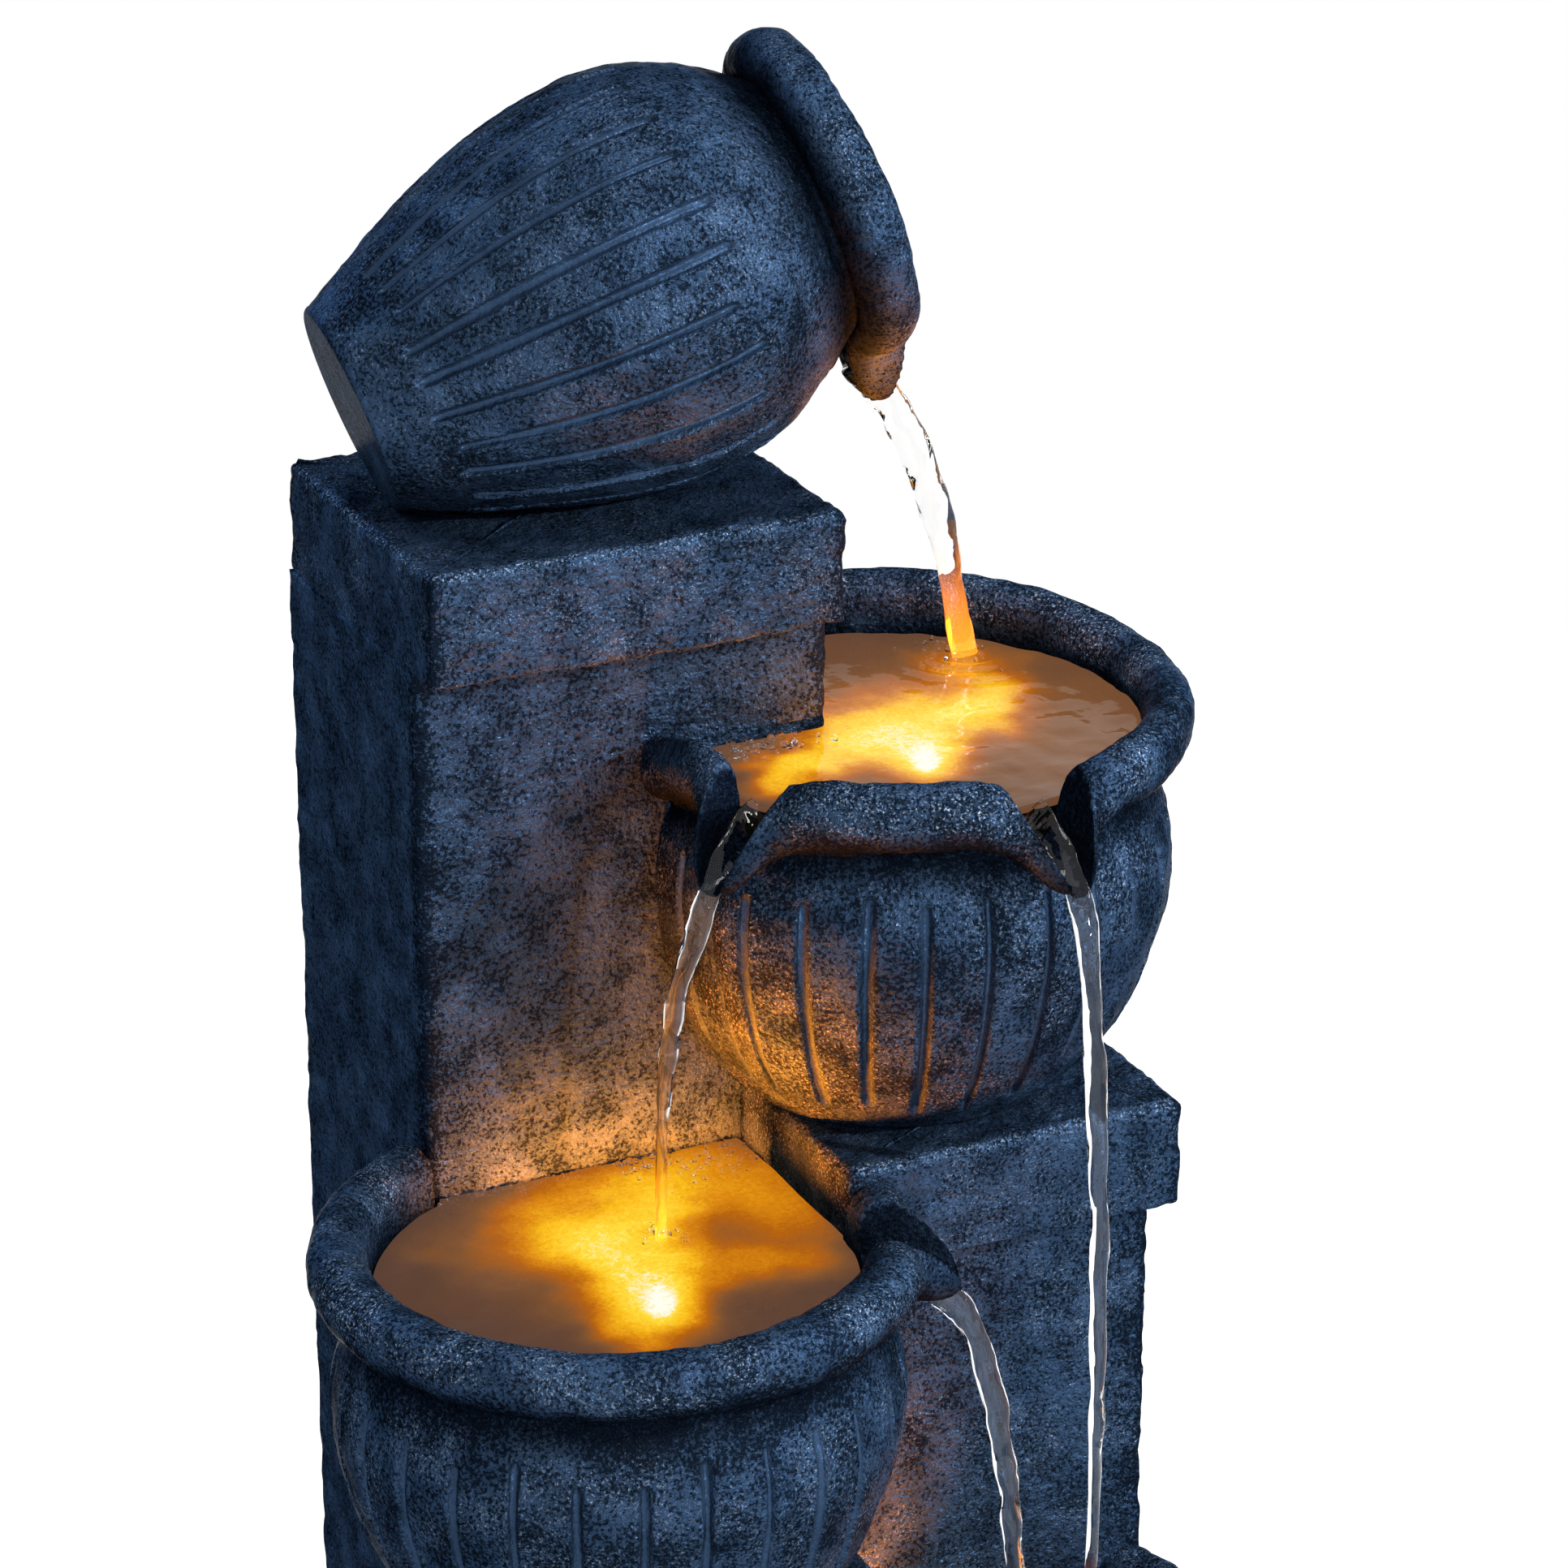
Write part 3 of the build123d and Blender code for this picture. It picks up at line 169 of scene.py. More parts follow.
def smooth_curve(points: Array, count: int) -> Array:
    """Natural cubic spline through a few points, with chord length as its parameter.

    Args:
        points: the points in order, one per row.
        count: how many samples to return.
    Returns:
        Samples spaced evenly in the parameter.
    """
    points = np.asarray(points, float)
    knots = np.concatenate([[0.0], np.cumsum(np.linalg.norm(np.diff(points, axis=0), axis=1))])
    gaps = np.diff(knots)
    size = len(points)
    system = np.eye(size)
    target = np.zeros_like(points)
    for i in range(1, size - 1):
        system[i, i - 1 : i + 2] = gaps[i - 1], 2 * (gaps[i - 1] + gaps[i]), gaps[i]
        slopes = np.diff(points[i - 1 : i + 2], axis=0) / gaps[i - 1 : i + 1, None]
        target[i] = 6 * (slopes[1] - slopes[0])
    curvature = np.linalg.solve(system, target)
    at = np.linspace(0.0, knots[-1], count)
    k = np.clip(np.searchsorted(knots, at) - 1, 0, size - 2)
    h = gaps[k][:, None]
    a = (knots[k + 1][:, None] - at[:, None]) / h
    b = 1.0 - a
    cubic = ((a**3 - a) * curvature[k] + (b**3 - b) * curvature[k + 1]) * h**2 / 6.0
    return a * points[k] + b * points[k + 1] + cubic


def roll_arc(middle: Pair, half: Pair, first: float, last: float, count: int) -> Array:
    """Run along an ellipse from one angle to another, in degrees.

    Args:
        middle: the ellipse's centre as radius and height.
        half: its half axes.
        first: start angle, zero pointing outwards.
        last: end angle.
        count: how many points.
    Returns:
        The points in order.
    """
    angle = np.radians(np.linspace(first, last, count))
    return np.stack([middle[0] + half[0] * np.cos(angle), middle[1] + half[1] * np.sin(angle)], axis=1)


def bend(before: Array, here: Array, after: Array, size: float) -> Array:
    """Corner rounded by a quadratic curve, whose ends lie the given size back along both sides."""
    share = np.linspace(0.0, 1.0, BEND_POINTS)[:, None]
    start, end = here + unit(before - here) * size, here + unit(after - here) * size
    return (1 - share) ** 2 * start + 2 * share * (1 - share) * here + share**2 * end


def straight(start: Array, end: Array, step: float) -> Array:
    """Points about a step apart from a start up to, but without, an end."""
    count = max(int(np.linalg.norm(end - start) / step), 2)
    return start + (end - start) * np.linspace(0.0, 1.0, count + 1)[:-1, None]


def within(points: Array, box: tuple[float, ...]) -> Array:
    """Whether points lie in a rectangle of the plan, given by its left, right, front and back."""
    x, y = points[..., 0], points[..., 1]
    return (x > box[0]) & (x < box[1]) & (y > box[2]) & (y < box[3])


def ray_to_box(start: Point, ray: Array, box: Footprint) -> Array:
    """Distance in plan from a point outside a rectangle to where each ray enters it.

    Args:
        start: where the rays begin.
        ray: unit directions in plan, last axis of two.
        box: the rectangle.
    Returns:
        Distances, a large number for a ray that misses.
    """
    safe = np.where(np.abs(ray) < TINY, TINY, ray)
    first = (np.array([box[0], box[2]]) - np.array(start[:2])) / safe
    second = (np.array([box[1], box[3]]) - np.array(start[:2])) / safe
    enter = np.minimum(first, second).max(axis=-1)
    leave = np.maximum(first, second).min(axis=-1)
    return np.where((enter < leave) & (enter > 0.0), enter, FAR)


def grid_normals(grid: Array) -> Array:
    """Unit normals of a grid whose columns join up: tangent in a row crossed with that from row to row."""
    along = np.gradient(grid, axis=0)
    across = np.roll(grid, -1, axis=1) - np.roll(grid, 1, axis=1)
    return unit(np.cross(across, along))


def grid_faces(index: Array) -> Array:
    """Four-cornered faces between the rows of a grid of vertex numbers whose columns join up."""
    after = np.roll(index, -1, axis=1)
    return np.stack([index[:-1], after[:-1], after[1:], index[1:]], axis=-1).reshape(-1, 4)


def capped_faces(rows: int, columns: int) -> list[Array]:
    """Faces of a grid whose columns join up, with fans from its first and last row to two points after it.

    Args:
        rows: rows of the grid.
        columns: columns of the grid.
    Returns:
        The grid's faces, the first fan and the last fan.
    """
    index = np.arange(rows * columns).reshape(rows, columns)
    after = np.roll(index, -1, axis=1)
    pole = np.full(columns, rows * columns)
    first = np.stack([after[0], index[0], pole], axis=-1)
    last = np.stack([index[-1], after[-1], pole + 1], axis=-1)
    return [grid_faces(index), first, last]


def make_mesh(name: str, points: Array, faces: list[Array], marks: Marks | None = None) -> bpy.types.Object:
    """Puts whole arrays of vertices and faces into a smooth-shaded mesh object.

    Args:
        name: object name.
        points: vertices in millimetres, one per row.
        faces: arrays of vertex numbers, one face per row.
        marks: per-vertex values that materials read, by name.
    Returns:
        The object, linked to the scene.
    """
    mesh = bpy.data.meshes.new(name)
    mesh.from_pydata((points * MM).tolist(), [], [f for block in faces for f in block.tolist()])
    mesh.polygons.foreach_set("use_smooth", np.ones(len(mesh.polygons), dtype=bool))
    for mark, values in (marks or {}).items():
        layer = mesh.attributes.new(mark, "FLOAT", "POINT")
        layer.data.foreach_set("value", np.ascontiguousarray(values, dtype=np.float32))
    mesh.update()
    piece = bpy.data.objects.new(name, mesh)
    bpy.context.scene.collection.objects.link(piece)
    return piece


def closed_grid(name: str, grid: Array, marks: Marks) -> bpy.types.Object:
    """Skin of a grid whose columns join up and whose first and last rows close to a point.

    Args:
        name: object name.
        grid: rows by columns by three, in millimetres.
        marks: rows by columns values for the materials, by name.
    Returns:
        The object, with its faces turned outwards.
    """
    faces = capped_faces(*grid.shape[:2])
    points = np.concatenate([grid.reshape(-1, 3), grid[:1].mean(axis=1), grid[-1:].mean(axis=1)])
    values = {key: np.append(mark.reshape(-1), [mark[0, 0], mark[-1, -1]]) for key, mark in marks.items()}
    a, b, c = (points[faces[0][:, k]] for k in range(3))
    if np.einsum("ij,ij->", a - points.mean(axis=0), np.cross(b - a, c - a)) < 0:
        faces = [f[:, ::-1] for f in faces]
    return make_mesh(name, points, faces, values)


def add_node(
    tree: bpy.types.NodeTree, kind: str, settings: dict | None = None, links: dict | None = None
) -> bpy.types.Node:
    """Adds one shader node.

    Args:
        tree: the node tree.
        kind: node type name without its ShaderNode prefix.
        settings: node properties, constants for its inputs by name or number, or "stops" of a ramp.
        links: outputs to join to its inputs, by input name or number.
    Returns:
        The node.
    """
    made = tree.nodes.new("ShaderNode" + kind)
    for key, value in (settings or {}).items():
        if key == "stops":
            bar = made.color_ramp.elements
            while len(bar) < len(value):
                bar.new(1.0)
            for stop, (place, code) in zip(bar, value):
                stop.position, stop.color = place, linear(code)
        elif isinstance(key, str) and key not in made.inputs:
            setattr(made, key, value)
        else:
            made.inputs[key].default_value = value
    for key, source in (links or {}).items():
        tree.links.new(source, made.inputs[key])
    return made


def empty_tree(owner: bpy.types.Material | bpy.types.World) -> bpy.types.NodeTree:
    """Gives a material or a world a node tree with nothing in it."""
    owner.use_nodes = True
    owner.node_tree.nodes.clear()
    return owner.node_tree


def close_material(made: bpy.types.Material, settings: dict, links: dict) -> bpy.types.Material:
    """Ends a material with its principled shader and the output.

    Args:
        made: the material.
        settings: the shader's constants.
        links: what is joined to the shader.
    Returns:
        The material.
    """
    shader = add_node(made.node_tree, "BsdfPrincipled", settings, links).outputs["BSDF"]
    add_node(made.node_tree, "OutputMaterial", links={"Surface": shader})
    return made


@dataclass(frozen=True)
class CastResin:
    """Stone-filled polyester resin, cast in a rubber mould, painted pearl navy and wiped with a black wash.

    The eye gets a hammered, gritty skin that sparkles: navy paint on the high spots, whose pearl pigment
    throws blue-white glints, with more glints painted on as pale specks, a near-black wash in the pits and
    along worn edges, painted shade under the rolled rims, and a smoother floor in the flutes.
    """

    name: str = "cast_resin_navy_wash"
    shade: str = "#26384e"
    body: str = "#2e425c"
    bloom: str = "#384e6b"
    # pale blue of the painted glint specks
    brush: str = "#9db0c6"
    wash: str = "#0a101a"
    soot: str = "#142031"
    rust: str = "#33262a"
    # dark tone of wet resin, also laid on as painted shade under the rolled rims
    damp: str = "#090f19"
    hammer_mm: float = 1.5
    grit_mm: float = 0.6
    pit_mm: float = 0.85
    drift_mm: float = 11.0
    stain_mm: float = 24.2
    relief_mm: float = 0.95
    drift_share: float = 0.4
    # how far worn edges and painted shade spread the black wash
    wear_share: float = 0.16
    grit_share: float = 0.3
    pit_share: float = -0.35
    pearl: float = 0.5
    edge_tint: float = 0.16

    def material(self) -> bpy.types.Material:
        """Builds the node material: drifting paint, layers of dirt and glints, uneven gloss and a bump."""
        made = bpy.data.materials.new(self.name)
        tree = empty_tree(made)
        place = add_node(tree, "TexCoord").outputs["Object"]
        # marks read here: the flutes, worn edges with painted shade, wet resin with painted shade, and
        # painted glints
        value = {
            mark: add_node(tree, "Attribute", {"attribute_name": mark}).outputs["Fac"]
            for mark in ("groove", "wear", "wet", "brushed")
        }
        patterns = {  # size in millimetres, detail and roughness of each noise
            "drift": (self.drift_mm, 5.0, 0.6),
            "pit": (self.pit_mm, 3.0, 0.66),
            "hammer": (self.hammer_mm, 3.0, 0.55),
            "grit": (self.grit_mm, 2.0, 0.6),
            "stain": (self.stain_mm, 5.0, 0.62),
        }
        for key, (size, detail, rough) in patterns.items():
            settings = {"Scale": per_metre(size), "Detail": detail, "Roughness": rough}
            value[key] = add_node(tree, "TexNoise", settings, {"Vector": place}).outputs["Fac"]
        steps = (  # key, operation, sources for the first inputs, constants from the second input on
            ("spread", "MULTIPLY", ("drift",), (self.drift_share,)),
            # worn edges, and on the pots painted shade under the rolled rim, spread the black wash and soot
            ("worn", "MULTIPLY", ("wear",), (self.wear_share,)),
            ("raised", "ADD", ("pit", "spread"), ()),
            ("deep", "SUBTRACT", ("raised", "worn"), ()),
            ("bloom", RANGE, ("groove",), (0.0, 1.0, 0.0, 0.5)),
            ("pits", RANGE, ("deep",), (0.64, 0.58, 0.0, 0.8)),
            ("dust", RANGE, ("deep",), (0.78, 0.61, 0.0, 0.35)),
            # painted highlight: pale glint specks on the grit, where the glint mark lies
            ("glint_specks", RANGE, ("grit",), (0.55, 0.66, 0.0, 0.75)),
            ("spared", RANGE, ("groove",), (0.0, 1.0, 1.0, 0.12)),
            ("rust", RANGE, ("stain",), (0.66, 0.78, 0.0, 0.3)),
            # wet resin, and painted shade under the rolled rims, take the damp tone
            ("damp", RANGE, ("wet",), (0.0, 1.0, 0.0, 0.9)),
            ("dry", RANGE, ("wet",), (0.0, 1.0, 1.0, 0.45)),
            ("matt", RANGE, ("grit",), (0.35, 0.65, 0.16, 0.3)),
            ("smooth", RANGE, ("groove",), (0.0, 1.0, 1.0, 0.35)),
            ("wash", "MULTIPLY", ("pits", "spared"), ()),
            ("soot", "MULTIPLY", ("dust", "spared"), ()),
            ("brush", "MULTIPLY", ("glint_specks", "brushed"), ()),
            ("rough", "MULTIPLY", ("matt", "dry"), ()),
            ("fine", "MULTIPLY", ("grit",), (self.grit_share,)),
            ("sunk", "MULTIPLY", ("wash",), (self.pit_share,)),
            ("lumps", "ADD", ("fine", "hammer"), ()),
            ("dented", "ADD", ("lumps", "sunk"), ()),
            ("relief", "MULTIPLY", ("dented", "smooth"), ()),
        )
        for key, operation, sources, constants in steps:
            kind, settings = ("MapRange", {}) if operation == RANGE else ("Math", {"operation": operation})
            settings |= dict(enumerate(constants, 1))
            links = {k: value[source] for k, source in enumerate(sources)}
            value[key] = add_node(tree, kind, settings, links).outputs[0]
        stops = [(0.36, self.shade), (0.5, self.body), (0.68, self.bloom)]
        colour = add_node(tree, "ValToRGB", {"stops": stops}, {"Fac": value["drift"]}).outputs["Color"]
        for layer in ("bloom", "rust", "soot", "brush", "wash", "damp"):
            settings = {"data_type": "RGBA", MIX_OVER: linear(getattr(self, layer))}
            links = {MIX_FACTOR: value[layer], MIX_UNDER: colour}
            colour = add_node(tree, "Mix", settings, links).outputs[MIX_RESULT]
        bump = {"Strength": 1.0, "Distance": self.relief_mm * MM}
        normal = add_node(tree, "Bump", bump, {"Height": value["relief"]}).outputs["Normal"]
        tint = (self.edge_tint, self.edge_tint, self.edge_tint, 1.0)
        return close_material(
            made,
            {"Specular IOR Level": 0.0, "Metallic": self.pearl, "Specular Tint": tint},
            {"Base Color": colour, "Roughness": value["rough"], "Normal": normal},
        )


@dataclass(frozen=True)
class LitWater:
    """Pool water over a warm lamp, clouded by air bubbles.

    The eye gets a glossy brown sheet that brightens through amber and yellow to white over the lamp, with
    a fizz of fine bubbles in the lit patches. All its colour is painted lamp light from below, an emission
    that the glow mark spreads over the surface, so the shader's own base is black.
    """

    name: str = "pool_water_amber_lit"
    tones: tuple[tuple[float, str], ...] = (
        (0.0, "#4a3a36"),
        (0.2, "#80532f"),
        (0.4, "#b4620f"),
        (0.55, "#dc8a10"),
        (0.7, "#fbbd1c"),
        (0.85, "#ffe040"),
        (1.0, "#fffef0"),
    )
    ripple_mm: float = 9.0
    fizz_mm: float = 1.3
    relief_mm: float = 1.0

    def material(self) -> bpy.types.Material:
        """Builds the node material: the light follows the glow attribute, broken up by the fizz."""
        made = bpy.data.materials.new(self.name)
        tree = empty_tree(made)
        place = add_node(tree, "TexCoord").outputs["Object"]
        glow = add_node(tree, "Attribute", {"attribute_name": "glow"}).outputs["Fac"]
        waves = {"Scale": per_metre(self.ripple_mm), "Detail": 3.0, "Distortion": 0.6}
        grain = {"Scale": per_metre(self.fizz_mm), "Detail": 3.0, "Distortion": 1.2}
        wave, fizz = (
            add_node(tree, "TexNoise", noise, {"Vector": place}).outputs["Fac"] for noise in (waves, grain)
        )
        span = {"From Min": 0.3, "From Max": 0.7, "To Min": 0.93, "To Max": 1.1}
        fizz = add_node(tree, "MapRange", span, {"Value": fizz}).outputs["Result"]
        glow = add_node(tree, "Math", {"operation": "MULTIPLY"}, {0: glow, 1: fizz}).outputs[0]
        light = add_node(tree, "ValToRGB", {"stops": self.tones}, {"Fac": glow}).outputs["Color"]
        bump = {"Strength": 0.25, "Distance": self.relief_mm * MM}
        normal = add_node(tree, "Bump", bump, {"Height": wave}).outputs["Normal"]
        settings = {
            "Base Color": (0.0, 0.0, 0.0, 1.0),
            "Emission Strength": 1.0,
            "Roughness": 0.08,
            "IOR": WATER_IOR,
            "Specular IOR Level": 0.2,
        }
        return close_material(made, settings, {"Emission Color": light, "Normal": normal})


@dataclass(frozen=True)
class ClearWater:
    """Falling water and bubbles: clear, with bright rims where it bends light and a painted warm glow near a
    lamp.
    """

    name: str = "falling_water_clear"
    warm: str = "#ff8a1e"
    swirl_mm: float = 4.0
    swirl_stretch: float = 0.3
    relief_mm: float = 2.0

    def material(self) -> bpy.types.Material:
        """Builds the node material: a clear shader, swirled by a stretched noise, with a painted warm glow.
        """
        made = bpy.data.materials.new(self.name)
        tree = empty_tree(made)
        place = add_node(tree, "TexCoord").outputs["Object"]
        glow = add_node(tree, "Attribute", {"attribute_name": "glow"}).outputs["Fac"]
        stretch = {"Scale": (1.0, 1.0, self.swirl_stretch)}
        place = add_node(tree, "Mapping", stretch, {"Vector": place}).outputs["Vector"]
        noise = {"Scale": per_metre(self.swirl_mm), "Detail": 1.5}
        swirl = add_node(tree, "TexNoise", noise, {"Vector": place}).outputs["Fac"]
        bump = {"Strength": 0.6, "Distance": self.relief_mm * MM}
        normal = add_node(tree, "Bump", bump, {"Height": swirl}).outputs["Normal"]
        settings = {
            "Base Color": WHITE,
            "Emission Color": linear(self.warm),
            "Transmission Weight": 1.0,
            "Roughness": 0.02,
            "IOR": WATER_IOR,
        }
        return close_material(made, settings, {"Emission Strength": glow, "Normal": normal})


@dataclass(frozen=True)
class Moulded:
    """Moulded plastic or rubber: one colour, faintly uneven, with the fine grain of a spark-eroded mould."""

    name: str
    colour: str
    worn: str
    rough: float
    drift_mm: float = 14.0
    grain_mm: float = 0.8
    relief_mm: float = 0.05
    clear: float = 0.0
    light: float = 0.0

    def material(self) -> bpy.types.Material:
        """Builds the node material: a slow drift between two tones and a fine grain bump."""
        made = bpy.data.materials.new(self.name)
        tree = empty_tree(made)
        place = add_node(tree, "TexCoord").outputs["Object"]
        slow = {"Scale": per_metre(self.drift_mm), "Detail": 4.0}
        fine = {"Scale": per_metre(self.grain_mm), "Detail": 2.0}
        drift, grain = (
            add_node(tree, "TexNoise", noise, {"Vector": place}).outputs["Fac"] for noise in (slow, fine)
        )
        stops = [(0.35, self.colour), (0.7, self.worn)]
        colour = add_node(tree, "ValToRGB", {"stops": stops}, {"Fac": drift}).outputs["Color"]
        bump = {"Strength": 0.5, "Distance": self.relief_mm * MM}
        normal = add_node(tree, "Bump", bump, {"Height": grain}).outputs["Normal"]
        settings = {"Roughness": self.rough, "Transmission Weight": self.clear, "Specular IOR Level": 0.3}
        if self.light:
            settings |= {"Emission Color": linear(self.worn), "Emission Strength": self.light}
        return close_material(made, settings, {"Base Color": colour, "Normal": normal})


class Finish(Enum):
    """The fountain's finishes: those of the record's material slots, by slot, and the two of water."""

    cast_resin = CastResin()
    hatch_plastic = Moulded("abs_panel_navy", "#1c2c46", "#263a58", 0.5)
    black_plastic = Moulded("abs_black_matt", "#141416", "#1f1f22", 0.55)
    lamp_plastic = Moulded("abs_black_gloss", "#0f0f11", "#18181b", 0.25)
    lamp_lens = Moulded("polycarbonate_lens_lit", "#ffd98a", "#fff1c0", 0.1, light=6.0)
    soft_rubber = Moulded("nitrile_rubber_black", "#121214", "#1c1c1e", 0.75)
    cable_sheath = Moulded("pvc_sheath_black", "#101011", "#1a1a1b", 0.45)
    clear_hose = Moulded("pvc_hose_clear", "#c9d3d8", "#dfe6e9", 0.18, clear=0.55)
    white_plastic = Moulded("acetal_white", "#e4e4df", "#efefec", 0.35)
    shaft_ceramic = Moulded("alumina_ground_white", "#e8e7e2", "#f3f2ef", 0.2)
    pool_water = LitWater()
    falling_water = ClearWater()


class Dresser:
    """Makes each finish once and puts it on pieces and on the CAD nodes that stay."""

    def __init__(self) -> None:
        """Starts with no material made."""
        self.made: dict[Finish, bpy.types.Material] = {}

    def get(self, finish: Finish) -> bpy.types.Material:
        """Gives a finish's material, made on first use."""
        if finish not in self.made:
            self.made[finish] = finish.value.material()
        return self.made[finish]

    def dress_nodes(self) -> None:
        """Gives each CAD node the finish of its slot in the record."""
        for part in frame["record"]["subparts"]:
            node = frame["nodes"][part["node"]]
            material = self.get(Finish[part["material_slot"]])
            for socket in node.material_slots:
                socket.material = material
            if not node.material_slots:
                node.data.materials.append(material)


class Piece:
    """A piece that the scene adds: a closed skin with one finish, carried by the fountain's fixed body."""

    name: str
    finish: Finish

    def grid(self) -> tuple[Array, Marks]:
        """Skin in world millimetres, rows by columns, and the marks that the finish reads."""
        raise NotImplementedError

    def mesh(self) -> bpy.types.Object:
        """Makes the mesh object from the grid."""
        return closed_grid(self.name, *self.grid())

    def declare(self, piece: bpy.types.Object) -> None:
        """Hook for what the piece stands for; water stands for nothing in the frame, so nothing is done
        here.
        """

    def build(self, dresser: Dresser) -> None:
        """Makes the piece, dresses it, sets it on its body and reports it.

        Args:
            dresser: where finishes come from.
        """
        piece = self.mesh()
        piece.data.materials.append(dresser.get(self.finish))
        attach(piece, ROOT)
        self.declare(piece)
        log.info("%s: %d faces", self.name, len(piece.data.polygons))


class CastPiece(Piece):
    """A piece of cast resin, which stands for a CAD node where it names one."""

    node: str
    finish = Finish.cast_resin

    def declare(self, piece: bpy.types.Object) -> None:
        """Hides the CAD node that the piece stands for."""
        if self.node:
            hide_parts(self.node)


class Zone(IntEnum):
    """Where a profile row lies on a vessel, from the underside round to the inside."""

    under = 0
    wall = 1
    roll = 2
    inside = 3


def join_runs(*runs: tuple[Array, Zone]) -> tuple[Array, Array]:
    """Joins profile runs, each with its zone, and drops the doubled points between them.

    Args:
        runs: pairs of points and zone.
    Returns:
        All points, and a column with each point's zone.
    """
    points = np.concatenate([run[min(i, 1) :] for i, (run, _) in enumerate(runs)])
    zone = np.concatenate([np.full(len(run) - (i > 0), int(place)) for i, (run, place) in enumerate(runs)])
    return points, zone[:, None]


@dataclass(frozen=True)
class Beak:
    """A pouring lip on a rolled rim, with a trough along its top."""

    bearing: float
    reach: float
    drop: float
    half_width: float = 11.0
    droop_half_width: float = 21.0
    trough_root: float = 5.4
    trough_tip: float = 3.2
    trough_drop: float = 9.0
    flat_half: float = 2.2
    droop_flat_half: float = 3.5
    bank_slope: float = 2.2
    sink: float = 0.4
    stretch_limit: float = 1.2
    droop_power: float = 1.5
    trough_hold: float = 0.6
    drip: float = 0.8
    drip_band: Pair = (1.7, 0.7)  # in half widths


@dataclass(frozen=True)
class Flutes:
    """A ring of hand-cut grooves with round ends."""

    count: int
    top: float
    bottom: float
    half_width: float = 1.3
    depth: float = 1.25
    burr: float = 0.22
    turn: float = 0.0
    top_play: float = 2.2
    bottom_play: float = 2.0
    side_play: float = 0.55
    lean: float = 0.9
    size_range: Pair = (0.85, 1.12)
    roundness: float = 0.8
    burr_place: float = 1.35
    burr_width: float = 0.35
    mark_gain: float = 2.5


